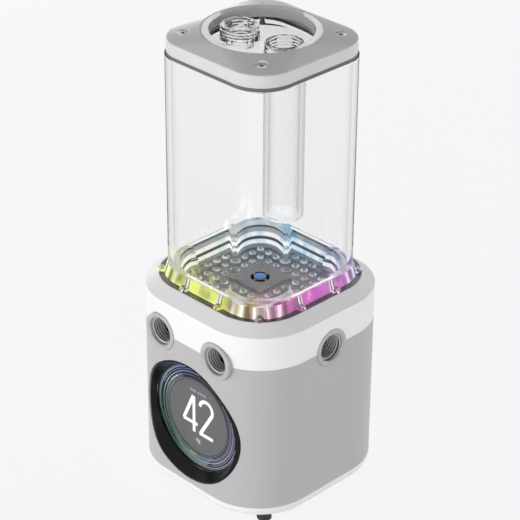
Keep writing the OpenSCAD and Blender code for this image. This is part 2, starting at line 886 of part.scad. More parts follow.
module light_guide() {
    step_h = (guide_z - floor_z) / terraces;
    color("#f4f4c0", 0.5) difference() {
        union() {
            body_slab(hole_a - 0.4, guide_bottom, lip_z);
            slab(guide_a, guide_r, lip_z - eps, ring_z);
            taper(guide_a, guide_r, guide_flare, ring_z - eps, guide_z);
            tab_places() translate([0, 0, ring_z]) cylinder(r = tab_r, h = tab_t);
        }
        inner_slab(plateau_a + 2 * gap, guide_bottom - 1, plateau_z + eps);
        for (k = [0 : terraces - 1]) {
            z0 = k == 0 ? plateau_z : floor_z + k * step_h - eps;
            z1 = floor_z + (k + 1) * step_h;
            translate([0, 0, z0]) linear_extrude(z1 - z0 + eps)
                terrace_outline(tread * (terraces - 1 - k));
        }
        tab_places() translate([0, 0, ring_z - eps]) cylinder(r = m16_r + gap, h = 2);
        corners(tab_corner, tab_corner)
            translate([0, 0, guide_bottom - 1]) cylinder(r = m16_r + gap, h = 12);
    }
}

module trim_ring() {
    color("#17181a") difference() {
        body_slab(hole_a - gap, lip_z, ring_z);
        slab(guide_a + gap, guide_r + gap, lip_z - 1, ring_z + 1);
        tab_places() translate([0, 0, lip_z - 1]) cylinder(r = m16_r + gap, h = trim_t + 2);
    }
}

module guide_screws() {
    z = ring_z + tab_t + 1;
    color("silver") for (turn = [0 : 90 : 270]) rotate(turn) {
        for (x = [-tab_x, tab_x]) translate([x, tab_out, z])
            socket_screw(m16_r, 1.2, 1, 4.8);
        translate([tab_corner, tab_corner, z])
            socket_screw(m16_r, 1.2, 1, z - guide_bottom + 6);
    }
}

module floor_plate() {
    color("#707274") difference() {
        translate([0, 0, plateau_z]) linear_extrude(floor_t)
            terrace_outline(tread * (terraces - 1) + gap);
        translate([0, 0, plateau_z - 1]) cylinder(r = intake_r, h = floor_t + 2);
    }
}

// Bevelled square round the intake, with a cross and hub over the hole
module intake_cover() {
    side = [[-grate_a, 0], [grate_a, 0], [grate_a - grate_t, grate_t], [grate_t - grate_a, grate_t]];
    color("#5f6163") translate([0, 0, floor_z]) difference() {
        intersection() {
            rotate([90, 0, 0]) linear_extrude(4 * grate_a, center = true) polygon(side);
            rotate([90, 0, 90]) linear_extrude(4 * grate_a, center = true) polygon(side);
        }
        translate([0, 0, -1]) linear_extrude(3) difference() {
            circle(intake_r - 0.4);
            for (turn = [0, 90]) rotate(turn) square([12, 1], center = true);
            circle(1.6);
        }
    }
}

// ---- reservoir and top ----

module reservoir_tube() {
    color("#e8f2f6", 0.4) difference() {
        slab(tube_a, tube_r, guide_z, tube_z);
        slab(tube_a - tube_t, tube_r - tube_t, guide_z - 1, tube_z + 1);
    }
}

module top_gasket() {
    color("#3c3e40") difference() {
        slab(frame_a, frame_r, tube_z, frame_z);
        slab(tube_a - tube_t + gap, tube_r - tube_t + gap, tube_z - 1, frame_z + 1);
    }
}

module top_cap() {
    color("#eef3f5", 0.5) difference() {
        union() {
            slab(tube_a - tube_t - 0.2, tube_r - tube_t - 0.2, cap_bottom, cap_flange_z);
            translate([0, 0, cap_flange_z - eps]) cylinder(r = opening_r - 0.2, h = rim_z - cap_flange_z);
        }
        translate([0, 0, dish_z]) cylinder(r = dish_r, h = dish_h + 1);
        for (x = [-top_port_x, top_port_x])
            translate([x, 0, cap_bottom - 1]) cylinder(r = drop_r + gap, h = 10);
        corners(frame_screw, frame_screw)
            translate([0, 0, cap_bottom + 0.6]) cylinder(r = m3_r + gap, h = 10);
    }
}

module top_frame() {
    color("#b4b6b8") difference() {
        union() {
            slab(frame_a, frame_r, frame_z, edge_z - 0.4);
            taper(frame_a, frame_r, 0.4, edge_z - 0.4 - eps, edge_z);
            hull() {
                slab(frame_a - 0.4, frame_r - 0.4, edge_z - 0.2, edge_z);
                translate([0, 0, rim_z - 0.2]) cylinder(r = opening_r + 0.5, h = 0.2);
            }
        }
        slab(skirt_a, skirt_a - frame_a + frame_r, frame_z - 1, cap_flange_z);
        translate([0, 0, frame_z]) cylinder(r = opening_r, h = rim_z);
        corners(frame_screw, frame_screw)
            translate([0, 0, screw_z]) flat_hole(m3_r, frame_head_r, rim_z - frame_z);
    }
}

module frame_screws() {
    color("silver") corners(frame_screw, frame_screw)
        translate([0, 0, screw_z]) flat_screw(m3_r, frame_head_r, screw_z - cap_bottom - 0.8);
}

// Boss of a top port: a round seat on an octagonal flange
module port_boss(bottom) {
    difference() {
        union() {
            translate([0, 0, bottom]) cylinder(r = drop_r, h = dish_z - bottom + eps);
            translate([0, 0, dish_z]) rotate(22.5) cylinder(r = boss_flange_r, h = 4.6, $fn = 8);
            translate([0, 0, dish_z]) cylinder(r = boss_r, h = boss_z - dish_z);
        }
        translate([0, 0, boss_z - port_h]) cylinder(r = port_r, h = port_h + 1);
        translate([0, 0, bottom - 1]) cylinder(r = spigot_bore, h = boss_z - bottom);
    }
}

module fill_port() {
    color("#f0f4f6", 0.5) translate([-top_port_x, 0, 0]) port_boss(cap_bottom);
}

module return_port() {
    color("#f0f4f6", 0.5) translate([top_port_x, 0, 0]) {
        port_boss(drop_top);
        // Spigot that the drop tube slides over
        translate([0, 0, drop_top - 2]) difference() {
            cylinder(r = drop_r - drop_t - gap, h = 2 + eps);
            translate([0, 0, -1]) cylinder(r = spigot_bore, h = 4);
        }
    }
}

module drop_tube() {
    color("#e8f2f6", 0.4) translate([top_port_x, 0, drop_top - drop_h]) difference() {
        cylinder(r = drop_r, h = drop_h);
        translate([0, 0, -1]) cylinder(r = drop_r - drop_t, h = drop_h + 2);
    }
}

feet();
foot_screws();
base_plate();
base_screws();
chassis_posts();
lower_housing();
shoulder_cover();
display_bezel();
display_glass();
display_panel();
display_board();
display_screws();
main_board();
board_screws();
header_socket();
header_pins();
pump_cap();
cap_screws();
pump_board();
pump_housing();
pump_screws();
stator_core();
stator_coils();
separator_can();
can_seal();
bearing_post();
bearing_ball();
bearing_sleeve();
rotor_magnet();
impeller();
pump_top();
port_front_left();
port_front_right();
port_side();
port_seals();
light_board();
leds();
guide_seal();
light_guide();
trim_ring();
guide_screws();
floor_plate();
intake_cover();
reservoir_tube();
top_gasket();
top_cap();
top_frame();
frame_screws();
fill_port();
return_port();
drop_tube();
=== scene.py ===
"""Dresses the coolant pump reservoir: finishes, port threads, display face and lit light guide.

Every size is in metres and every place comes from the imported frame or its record.
"""

import json
import math

import bmesh
import bpy
from mathutils import Matrix, Vector


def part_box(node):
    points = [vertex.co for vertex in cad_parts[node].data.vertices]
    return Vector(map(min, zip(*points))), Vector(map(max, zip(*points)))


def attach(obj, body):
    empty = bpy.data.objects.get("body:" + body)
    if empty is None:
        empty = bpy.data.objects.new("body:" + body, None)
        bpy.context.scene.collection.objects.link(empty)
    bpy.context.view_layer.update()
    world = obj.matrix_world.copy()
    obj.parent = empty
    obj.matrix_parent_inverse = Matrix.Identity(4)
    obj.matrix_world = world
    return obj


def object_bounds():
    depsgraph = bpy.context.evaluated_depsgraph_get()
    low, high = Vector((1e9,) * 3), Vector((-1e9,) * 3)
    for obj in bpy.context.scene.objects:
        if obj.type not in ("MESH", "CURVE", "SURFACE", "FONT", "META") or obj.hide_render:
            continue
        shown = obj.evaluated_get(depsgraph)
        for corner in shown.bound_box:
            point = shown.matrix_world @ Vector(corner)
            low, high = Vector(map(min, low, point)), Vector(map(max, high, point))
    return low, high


bl_info = {
    "name": "Coolant Pump Reservoir",
    "version": (1, 0, 0),
    "blender": (4, 5, 0),
    "location": "View3D > Sidebar > Coolant",
    "description": "Finishes, threads, display and lit guide of a coolant pump reservoir",
    "category": "Object",
}

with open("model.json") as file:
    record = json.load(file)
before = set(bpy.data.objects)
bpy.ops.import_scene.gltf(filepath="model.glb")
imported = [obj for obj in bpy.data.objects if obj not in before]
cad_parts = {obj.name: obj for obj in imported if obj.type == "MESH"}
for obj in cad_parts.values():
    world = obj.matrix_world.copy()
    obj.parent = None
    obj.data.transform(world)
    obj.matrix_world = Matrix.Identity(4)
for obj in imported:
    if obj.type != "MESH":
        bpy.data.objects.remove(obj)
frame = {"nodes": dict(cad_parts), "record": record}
cad_low, cad_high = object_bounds()

MM = 0.001
UNIT = "unit"
MOUNTS = {mount["name"]: mount for mount in frame["record"]["mounts"]}

# Levels and centres that several pieces share
floor_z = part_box("floor_plate")[1].z
guide_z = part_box("reservoir_tube")[0].z
glass_low, glass_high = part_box("display_glass")
glass_r = (glass_high.x - glass_low.x) / 2
display_z = (glass_low.z + glass_high.z) / 2
face_y = glass_high.y


# ---- settings ----


def colour(label, value, note):
    """A colour setting with a default."""
    return bpy.props.FloatVectorProperty(
        name=label, description=note, subtype="COLOR", size=3, min=0, max=1, default=value
    )


def length(label, value, note):
    """A length setting in metres."""
    return bpy.props.FloatProperty(
        name=label, description=note, unit="LENGTH", default=value, precision=5
    )


class ShellSettings(bpy.types.PropertyGroup):
    """Colours of the housing's plastics and metals."""

    white: colour("White shell", (0.87, 0.86, 0.865), "Shoulder cover and base ring")
    grey: colour("Grey shell", (0.49, 0.475, 0.483), "Lower housing")
    silver: colour("Silver", (0.64, 0.64, 0.645), "Top frame and port collars")
    black: colour("Black gloss", (0.012, 0.012, 0.013), "Display bezel and trim ring")
    edge: length("Soft edge", 0.00035, "Radius that softens the moulded edges")


class ThreadSettings(bpy.types.PropertyGroup):
    """Thread of the five ports."""

    pitch: length("Pitch", 0.001337, "Rise of one turn")
    depth: length("Depth", 0.000856, "Height of the thread from its root")


class DisplaySettings(bpy.types.PropertyGroup):
    """The round display's face."""

    screen: colour("Screen", (0.098, 0.098, 0.10), "Lit grey of the screen")
    digit: colour("Digits", (1.0, 1.0, 1.0), "The reading")
    digit_height: length("Digit height", 0.0193, "Height of the reading")
    stroke: length("Stroke", 0.0018, "Width of the digits' strokes")


class GuideSettings(bpy.types.PropertyGroup):
    """The lit guide and the dimpled floor."""

    dimple_r: length("Dimple radius", 0.00185, "Radius of one dimple")
    dimple_pitch: length("Dimple pitch", 0.0055, "Distance between neighbouring dimples")
    smoke: colour("Smoked floor", (0.13, 0.13, 0.135), "Floor under the coolant")


class StageSettings(bpy.types.PropertyGroup):
    """Floor, lamps and camera."""

    azimuth: bpy.props.FloatProperty(name="Azimuth", description="Round the object", default=45.209)
    elevation: bpy.props.FloatProperty(name="Elevation", description="Above level", default=29.354)
    roll: bpy.props.FloatProperty(name="Roll", description="Turn about the sight line", default=0.441)
    distance: length("Distance", 0.9352, "From the aim to the camera")
    lens: bpy.props.FloatProperty(name="Lens", description="Focal length in mm", default=143.6)


SETTINGS = {
    "coolant_shell": ShellSettings,
    "coolant_thread": ThreadSettings,
    "coolant_display": DisplaySettings,
    "coolant_guide": GuideSettings,
    "coolant_stage": StageSettings,
}


# ---- mesh making ----


def add_piece(name, mesh_or_bm, material, body=UNIT, smooth=True):
    """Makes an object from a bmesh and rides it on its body."""
    mesh = bpy.data.meshes.new(name)
    mesh_or_bm.to_mesh(mesh)
    mesh_or_bm.free()
    mesh.polygons.foreach_set("use_smooth", [smooth] * len(mesh.polygons))
    mesh.materials.append(material)
    piece = bpy.data.objects.new(name, mesh)
    bpy.context.scene.collection.objects.link(piece)
    if smooth:
        mesh.set_sharp_from_angle(angle=math.radians(38))
    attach(piece, body)
    return piece


def axes_along(axis):
    """Rotation that takes +Z to the given axis."""
    return Vector((0, 0, 1)).rotation_difference(Vector(axis)).to_matrix().to_4x4()


def loft(bm, rings, closed_ring=True, closed_path=False, cap=False):
    """Joins rings of points with quads."""
    rows = [[bm.verts.new(p) for p in ring] for ring in rings]
    pairs = list(zip(rows, rows[1:]))
    if closed_path:
        pairs.append((rows[-1], rows[0]))
    count = len(rows[0])
    for low, high in pairs:
        for i in range(count if closed_ring else count - 1):
            j = (i + 1) % count
            bm.faces.new((low[i], low[j], high[j], high[i]))
    if cap:
        bm.faces.new(rows[0][::-1])
        bm.faces.new(rows[-1])
    return rows


def circle_points(radius, z, count=64):
    """Points round +Z."""
    steps = (2 * math.pi * i / count for i in range(count))
    return [Vector((radius * math.cos(t), radius * math.sin(t), z)) for t in steps]


def helical_thread(root, crest, pitch, start, turns):
    """A thread ridge on the inside of a bore, from z = start inwards."""
    bm = bmesh.new()
    per_turn = 48
    profile = ((root + 0.03 * MM, -0.30), (crest, -0.09), (crest, 0.09), (root + 0.03 * MM, 0.30))
    rings = []
    steps = int(turns * per_turn)
    for step in range(steps + 1):
        angle = 2 * math.pi * step / per_turn
        rise = start - pitch * step / per_turn
        fade = min(1, step / 18, (steps - step) / 18)
        ring = []
        for radius, share in profile:
            r = root + (radius - root) * fade if radius < root else radius
            ring.append((r * math.cos(angle), r * math.sin(angle), rise + share * pitch))
        rings.append(ring)
    loft(bm, rings, cap=True)
    bmesh.ops.recalc_face_normals(bm, faces=bm.faces)
    return bm


# ---- node groups ----


def new_group(name, inputs, outputs):
    """A shader node group with named sockets."""
    group = bpy.data.node_groups.new(name, "ShaderNodeTree")
    for label, kind, default in inputs:
        socket = group.interface.new_socket(name=label, in_out="INPUT", socket_type=kind)
        socket.default_value = default
    for label, kind in outputs:
        group.interface.new_socket(name=label, in_out="OUTPUT", socket_type=kind)
    return group, group.nodes.new("NodeGroupInput"), group.nodes.new("NodeGroupOutput")


def maths(tree, operation, *values, clamp=False):
    """A Math node; values are numbers or sockets."""
    node = tree.nodes.new("ShaderNodeMath")
    node.operation = operation
    node.use_clamp = clamp
    for socket, value in zip(node.inputs, values):
        feed(tree, value, socket)
    return node.outputs[0]


def feed(tree, value, socket):
    """Links a socket, or sets a plain value."""
    if isinstance(value, bpy.types.NodeSocket):
        tree.links.new(value, socket)
    else:
        socket.default_value = value


def mix_colour(tree, factor, first, second, blend="MIX"):
    """A colour Mix node."""
    node = tree.nodes.new("ShaderNodeMix")
    node.data_type = "RGBA"
    node.blend_type = blend
    feed(tree, factor, node.inputs[0])
    feed(tree, first, node.inputs[6])
    feed(tree, second, node.inputs[7])
    return node.outputs[2]


def ramp(tree, factor, stops, interpolation="LINEAR"):
    """A colour ramp from (place, colour) stops."""
    node = tree.nodes.new("ShaderNodeValToRGB")
    node.color_ramp.interpolation = interpolation
    while len(node.color_ramp.elements) < len(stops):
        node.color_ramp.elements.new(0.5)
    for element, (place, value) in zip(node.color_ramp.elements, stops):
        element.position = place
        element.color = (*value, 1) if len(value) == 3 else value
    tree.links.new(factor, node.inputs[0])
    return node.outputs[0]


def noise(tree, scale, detail=2.0, vector=None, stretch=None, roughness=0.5):
    """A noise value on object coordinates, optionally stretched."""
    coords = vector or tree.nodes.new("ShaderNodeTexCoord").outputs["Object"]
    if stretch:
        mapping = tree.nodes.new("ShaderNodeMapping")
        mapping.inputs["Scale"].default_value = stretch
        tree.links.new(coords, mapping.inputs[0])
        coords = mapping.outputs[0]
    node = tree.nodes.new("ShaderNodeTexNoise")
    tree.links.new(coords, node.inputs["Vector"])
    feed(tree, scale, node.inputs["Scale"])
    node.inputs["Detail"].default_value = detail
    node.inputs["Roughness"].default_value = roughness
    return node.outputs["Fac"]


def make_grain_group():
    """Fine moulded or blasted grain: height, roughness and a slight mottling."""
    group, enter, leave = new_group(
        "surface_grain",
        [
            ("Scale", "NodeSocketFloat", 2500.0),
            ("Roughness", "NodeSocketFloat", 0.4),
            ("Spread", "NodeSocketFloat", 0.08),
            ("Colour", "NodeSocketColor", (0.5, 0.5, 0.5, 1)),
            ("Mottle", "NodeSocketFloat", 0.05),
        ],
        [
            ("Height", "NodeSocketFloat"),
            ("Roughness", "NodeSocketFloat"),
            ("Colour", "NodeSocketColor"),
        ],
    )
    fine = noise(group, enter.outputs["Scale"], 3)
    wide = noise(group, 45.0, 4)
    group.links.new(fine, leave.inputs["Height"])
    spread = maths(group, "MULTIPLY", maths(group, "SUBTRACT", wide, 0.5), enter.outputs["Spread"])
    rough = maths(group, "ADD", enter.outputs["Roughness"], maths(group, "MULTIPLY", spread, 4.0))
    group.links.new(rough, leave.inputs["Roughness"])
    shade = maths(group, "MULTIPLY", maths(group, "SUBTRACT", fine, 0.5), enter.outputs["Mottle"])
    shade = maths(group, "ADD", 1.0, maths(group, "MULTIPLY", shade, 2.0))
    tint = mix_colour(group, 1.0, enter.outputs["Colour"], shade, "MULTIPLY")
    group.links.new(tint, leave.inputs["Colour"])
    return group


def make_edge_group():
    """Softened edges: a rounded normal with the grain on it, and a mask of the edges."""
    group, enter, leave = new_group(
        "soft_edges",
        [
            ("Radius", "NodeSocketFloat", 0.0003),
            ("Height", "NodeSocketFloat", 0.5),
            ("Grain", "NodeSocketFloat", 0.1),
        ],
        [("Normal", "NodeSocketVector"), ("Edge", "NodeSocketFloat")],
    )
    bevel = group.nodes.new("ShaderNodeBevel")
    bevel.samples = 4
    group.links.new(enter.outputs["Radius"], bevel.inputs["Radius"])
    bump = group.nodes.new("ShaderNodeBump")
    bump.inputs["Distance"].default_value = 0.02 * MM
    group.links.new(enter.outputs["Grain"], bump.inputs["Strength"])
    group.links.new(enter.outputs["Height"], bump.inputs["Height"])
    group.links.new(bevel.outputs[0], bump.inputs["Normal"])
    group.links.new(bump.outputs[0], leave.inputs["Normal"])
    geometry = group.nodes.new("ShaderNodeNewGeometry")
    dot = group.nodes.new("ShaderNodeVectorMath")
    dot.operation = "DOT_PRODUCT"
    group.links.new(bevel.outputs[0], dot.inputs[0])
    group.links.new(geometry.outputs["True Normal"], dot.inputs[1])
    edge = maths(group, "MULTIPLY", maths(group, "SUBTRACT", 1.0, dot.outputs["Value"]), 6.0, clamp=True)
    group.links.new(edge, leave.inputs["Edge"])
    return group


# Colour of the guide's light by its place round the guide, from -180 to 180 degrees
RING_LIGHT = (
    (0.0, (0.80, 0.93, 0.72)),
    (0.075, (0.86, 0.93, 0.45)),
    (0.125, (0.85, 0.93, 0.10)),
    (0.30, (0.80, 0.86, 0.09)),
    (0.345, (0.62, 0.50, 0.12)),
    (0.375, (0.42, 0.24, 0.21)),
    (0.405, (0.62, 0.16, 0.42)),
    (0.50, (0.62, 0.10, 0.58)),
    (0.58, (0.72, 0.26, 0.74)),
    (0.625, (0.45, 0.36, 0.80)),
    (0.69, (0.22, 0.42, 0.90)),
    (0.78, (0.25, 0.68, 0.95)),
    (0.875, (0.20, 0.55, 0.90)),
    (0.945, (0.62, 0.85, 0.90)),
    (1.0, (0.80, 0.93, 0.72)),
)


def make_ring_light_group():
    """Colour of the LED light by the angle round the centre."""
    group, enter, leave = new_group("ring_light", [], [("Colour", "NodeSocketColor")])
    split = group.nodes.new("ShaderNodeSeparateXYZ")
    coords = group.nodes.new("ShaderNodeTexCoord")
    group.links.new(coords.outputs["Object"], split.inputs[0])
    angle = maths(group, "ARCTAN2", split.outputs["Y"], split.outputs["X"])
    turn = maths(group, "MULTIPLY_ADD", angle, 1 / (2 * math.pi), 0.5)
    group.links.new(ramp(group, turn, RING_LIGHT), leave.inputs["Colour"])
    return group


GROUPS = {}


def group_node(tree, name, **values):
    """Places a shared group in a material and sets its inputs by name."""
    makers = {
        "surface_grain": make_grain_group,
        "soft_edges": make_edge_group,
        "ring_light": make_ring_light_group,
    }
    if name not in GROUPS:
        GROUPS[name] = makers[name]()
    node = tree.nodes.new("ShaderNodeGroup")
    node.node_tree = GROUPS[name]
    for label, value in values.items():
        feed(tree, value, node.inputs[label])
    return node


# ---- materials ----


def new_material(name):
    """An empty material with a Principled shader joined to its output."""
    material = bpy.data.materials.new(name)
    material.use_nodes = True
    tree = material.node_tree
    tree.nodes.clear()
    shader = tree.nodes.new("ShaderNodeBsdfPrincipled")
    output = tree.nodes.new("ShaderNodeOutputMaterial")
    tree.links.new(shader.outputs[0], output.inputs["Surface"])
    return material, tree, shader


def grained(name, tint, roughness, grain=0.15, scale=2500.0, metallic=0.0, coat=0.0, mottle=0.05,
            edge=0.0003, bright_edge=0.25, spread=0.05, gloss=0.5):
    """A moulded, blasted or pressed surface with fine grain, softened edges and a painted highlight along
    its edges.
    """
    material, tree, shader = new_material(name)
    surface = group_node(
        tree, "surface_grain", Scale=scale, Roughness=roughness, Spread=spread,
        Colour=(*tint, 1), Mottle=mottle,
    )
    rim = group_node(tree, "soft_edges", Radius=edge, Height=surface.outputs["Height"], Grain=grain)
    # Painted highlight: the colour is lightened along the edges by the edge mask, by the share bright_edge.
    painted_edge_highlight = mix_colour(tree, maths(tree, "MULTIPLY", rim.outputs["Edge"], bright_edge),
                      surface.outputs["Colour"], (*[min(1, c * 1.5 + 0.08) for c in tint], 1))
    tree.links.new(painted_edge_highlight, shader.inputs["Base Color"])
    tree.links.new(surface.outputs["Roughness"], shader.inputs["Roughness"])
    tree.links.new(rim.outputs["Normal"], shader.inputs["Normal"])
    shader.inputs["Metallic"].default_value = metallic
    shader.inputs["Coat Weight"].default_value = coat
    shader.inputs["Specular IOR Level"].default_value = gloss
    return material


def painted_glass_rim_shade(tree, shader, tint, rim, power=3.0):
    """Darkens the colour of clear acrylic towards its turned-away edges, by the angle they are seen at:
    painted shade.
    """
    facing = tree.nodes.new("ShaderNodeLayerWeight")
    facing.inputs["Blend"].default_value = 0.5
    amount = maths(tree, "POWER", facing.outputs["Facing"], power)
    tree.links.new(mix_colour(tree, amount, (*tint, 1), (*rim, 1)), shader.inputs["Base Color"])


def absorb(tree, density):
    """Grey absorption inside clear acrylic, so that its long sight lines are darker."""
    volume = tree.nodes.new("ShaderNodeVolumeAbsorption")
    volume.inputs["Color"].default_value = (0, 0, 0, 1)
    volume.inputs["Density"].default_value = density
    output = next(node for node in tree.nodes if node.type == "OUTPUT_MATERIAL")
    tree.links.new(volume.outputs[0], output.inputs["Volume"])


def clear_acrylic(name, tint, smudge=0.03, rim=(0.30, 0.30, 0.30), power=4.0, ior=1.49, density=20.0):
    """Polished clear acrylic with faint handling marks and painted shade towards its turned-away edges."""
    material, tree, shader = new_material(name)
    # Painted shade: the colour darkens towards the turned-away edges.
    painted_glass_rim_shade(tree, shader, tint, rim, power)
    absorb(tree, density)
    shader.inputs["Transmission Weight"].default_value = 1.0
    shader.inputs["IOR"].default_value = ior
    marks = group_node(tree, "surface_grain", Scale=160.0, Roughness=smudge, Spread=smudge * 0.4)
    tree.links.new(marks.outputs["Roughness"], shader.inputs["Roughness"])
    return material


def set_material(material, *names):
    """Gives CAD nodes a material."""
    for name in names:
        slots = frame["nodes"][name].data.materials
        slots.clear()
        slots.append(material)


def machined(name, tint, roughness=0.3, direction=(1.0, 1.0, 12.0)):
    """Bright metal with fine turning or drawing lines."""
    material, tree, shader = new_material(name)
    lines = noise(tree, 900.0, 2, stretch=direction)
    shade = ramp(tree, lines, ((0.3, [c * 0.82 for c in tint]), (0.7, tint)))
    tree.links.new(shade, shader.inputs["Base Color"])
    shader.inputs["Metallic"].default_value = 1.0
    rough = maths(tree, "MULTIPLY_ADD", lines, 0.2, roughness - 0.1)
    tree.links.new(rough, shader.inputs["Roughness"])
    rim = group_node(tree, "soft_edges", Radius=0.15 * MM, Height=lines, Grain=0.25)
    tree.links.new(rim.outputs["Normal"], shader.inputs["Normal"])
    return material


def circuit_board(name, mask, track):
    """Solder mask with copper tracks and tinned pads under it."""
    material, tree, shader = new_material(name)
    coords = tree.nodes.new("ShaderNodeTexCoord")
    brick = tree.nodes.new("ShaderNodeTexBrick")
    tree.links.new(coords.outputs["Object"], brick.inputs["Vector"])
    brick.inputs["Scale"].default_value = 260.0
    brick.inputs["Mortar Size"].default_value = 0.03
    brick.inputs["Color1"].default_value = (*mask, 1)
    brick.inputs["Color2"].default_value = (*[c * 0.85 for c in mask], 1)
    brick.inputs["Mortar"].default_value = (*track, 1)
    surface = group_node(tree, "surface_grain", Scale=900.0, Roughness=0.35, Spread=0.05,
                         Colour=brick.outputs["Color"], Mottle=0.08)
    tree.links.new(surface.outputs["Colour"], shader.inputs["Base Color"])
    tree.links.new(surface.outputs["Roughness"], shader.inputs["Roughness"])
    return material


# ---- operators ----


# The port collars are the frame silver painted darker by this share, as painted shade
PORT_SHADE = 0.72


class FinishShells(bpy.types.Operator):
    """Finishes the housing, the shoulder cover, the base ring, the collars and the top frame"""

    bl_idname = "coolant.finish_shells"
    bl_label = "Finish the shells"

    def execute(self, context):
        look = context.scene.coolant_shell
        set_material(
            grained("satin_white_shell", look.white, 0.42, edge=look.edge, mottle=0.02, gloss=0.2),
            "shoulder_cover", "base_plate",
        )
        set_material(
            grained("satin_grey_shell", look.grey, 0.40, edge=look.edge, mottle=0.03, gloss=0.2),
            "lower_housing",
        )
        blasted = grained(
            "blasted_silver", look.silver, 0.36, grain=0.3, scale=3500.0, metallic=0.12,
            edge=0.0005, bright_edge=0.5, mottle=0.06, gloss=0.2,
        )
        set_material(blasted, "top_frame")
        # Painted shade: the collars get a darker copy of the frame silver.
        port_shaded_silver = tuple(PORT_SHADE * share for share in look.silver)
        ports = grained(
            "blasted_port", port_shaded_silver, 0.40, grain=0.3, scale=3500.0, metallic=0.12,
            edge=0.0004, bright_edge=0.3, mottle=0.06, gloss=0.2,
        )
        set_material(ports, "port_front_left", "port_front_right", "port_side")
        set_material(
            grained("black_gloss", look.black, 0.16, grain=0.03, mottle=0.1, gloss=0.1, bright_edge=0.05),
            "display_bezel",
        )
        set_material(
            grained("smoked_gloss", (0.10, 0.10, 0.105), 0.10, grain=0.03, coat=0.6, mottle=0.1), "trim_ring"
        )
        set_material(
            grained("foot_rubber", (0.018, 0.018, 0.02), 0.7, grain=0.5, scale=1800.0, mottle=0.3), "feet"
        )
        set_material(
            grained("seal_rubber", (0.03, 0.03, 0.032), 0.55, grain=0.4, scale=1800.0, mottle=0.3),
            "can_seal", "port_seals", "guide_seal",
        )
        set_material(
            grained("gasket_grey", (0.11, 0.11, 0.113), 0.5, grain=0.3, scale=1800.0, mottle=0.2),
            "top_gasket",
        )
        return {"FINISHED"}


class FinishPump(bpy.types.Operator):
    """Finishes the pump, its motor, its bearing and the boards inside the housing"""

    bl_idname = "coolant.finish_pump"
    bl_label = "Finish the pump"

    def execute(self, context):
        acetal = grained("machined_acetal", (0.03, 0.03, 0.033), 0.5, grain=0.4, mottle=0.2)
        set_material(acetal, "pump_top", "pump_cap", "pump_housing", "header_socket")
        set_material(machined("laminated_steel", (0.42, 0.42, 0.43), 0.4, (1, 1, 60)), "stator_core")
        set_material(machined("drawn_steel", (0.60, 0.61, 0.62), 0.25), "separator_can")
        set_material(machined("copper_winding", (0.72, 0.36, 0.17), 0.35, (1, 1, 40)), "stator_coils")
        set_material(machined("brass_turned", (0.78, 0.60, 0.28), 0.3), "chassis_posts", "header_pins")
        steel = machined("screw_steel", (0.58, 0.58, 0.60), 0.28, (4, 4, 1))
        set_material(
            steel, "foot_screws", "base_screws", "display_screws", "board_screws", "cap_screws",
            "pump_screws", "guide_screws", "frame_screws",
        )
        ceramic = grained("polished_ceramic", (0.86, 0.84, 0.78), 0.12, grain=0.05, coat=0.3)
        set_material(ceramic, "bearing_post", "bearing_ball")
        set_material(grained("pressed_carbon", (0.04, 0.04, 0.042), 0.45, grain=0.3), "bearing_sleeve")
        set_material(grained("ground_ferrite", (0.09, 0.08, 0.08), 0.5, grain=0.5), "rotor_magnet")
        blue = grained("moulded_blue", (0.05, 0.22, 0.62), 0.3, grain=0.1, coat=0.2)
        set_material(blue, "impeller")
        board = circuit_board("green_board", (0.01, 0.09, 0.035), (0.03, 0.20, 0.07))
        set_material(board, "display_board", "main_board", "pump_board")
        set_material(circuit_board("white_board", (0.75, 0.75, 0.73), (0.62, 0.62, 0.6)), "light_board")
        return {"FINISHED"}


class CutThreads(bpy.types.Operator):
    """Cuts the thread into each of the five ports, with a dark sleeve of painted shade at the root of the
    three metal ones
    """

    bl_idname = "coolant.cut_threads"
    bl_label = "Cut the port threads"

    def execute(self, context):
        look = context.scene.coolant_thread
        metal = frame["nodes"]["port_side"].data.materials[0]
        clear = frame["nodes"]["fill_port"].data.materials[0]
        ports = {
            "front_left_port": ("silver_frame", metal),
            "front_right_port": ("silver_frame", metal),
            "side_port": ("silver_frame", metal),
            "fill_port_bore": ("clear_acrylic", clear),
            "return_port_bore": ("clear_acrylic", clear),
        }
        shade = grained("thread_shade", (0.02, 0.02, 0.021), 0.5, grain=0.2, gloss=0.2)
        for name, (slot, material) in ports.items():
            mount = MOUNTS[name]
            root = mount["dims"]["r_mm"] * MM
            half = mount["dims"]["length_mm"] * MM / 2
            turns = (2 * half - 1.4 * look.pitch) / look.pitch
            bm = helical_thread(root, root - look.depth, look.pitch, half - 0.6 * look.pitch, turns)
            place = Matrix.Translation(mount["pos_m"]) @ axes_along(mount["axis"])
            bmesh.ops.transform(bm, matrix=place, verts=bm.verts)
            add_piece(f"thread_{name}", bm, material)
            # A dark sleeve behind the metal threads is painted shade inside the bore.
            if slot == "silver_frame":
                bm = bmesh.new()
                sides = ((root - 0.04 * MM, half - 0.9 * look.pitch), (root - 0.04 * MM, -half),
                         (root + 0.02 * MM, -half), (root + 0.02 * MM, half - 0.9 * look.pitch))
                loft(bm, [circle_points(r, z) for r, z in sides], closed_path=True)
                bmesh.ops.recalc_face_normals(bm, faces=bm.faces)
                bmesh.ops.transform(bm, matrix=place, verts=bm.verts)
                add_piece(f"thread_root_{name}", bm, shade)
        return {"FINISHED"}


def display_point(x, z, depth=0.0):
    """A point on the display's face, x to the viewer's right and z up from its centre."""
    return Vector((x, face_y - depth, display_z + z))


def flat_ring(bm, inner, outer, start, end, depth):
    """A flat arc on the display's face, in degrees from its right, anticlockwise."""
    count = max(6, int(abs(end - start) / 3))
    rows = []
    for i in range(count + 1):
        angle = math.radians(start + (end - start) * i / count)
        c, s = math.cos(angle), math.sin(angle)
        rows.append([bm.verts.new(display_point(r * c, r * s, depth)) for r in (inner, outer)])
    for (a, b), (d, e) in zip(rows, rows[1:]):
        bm.faces.new((a, b, e, d))


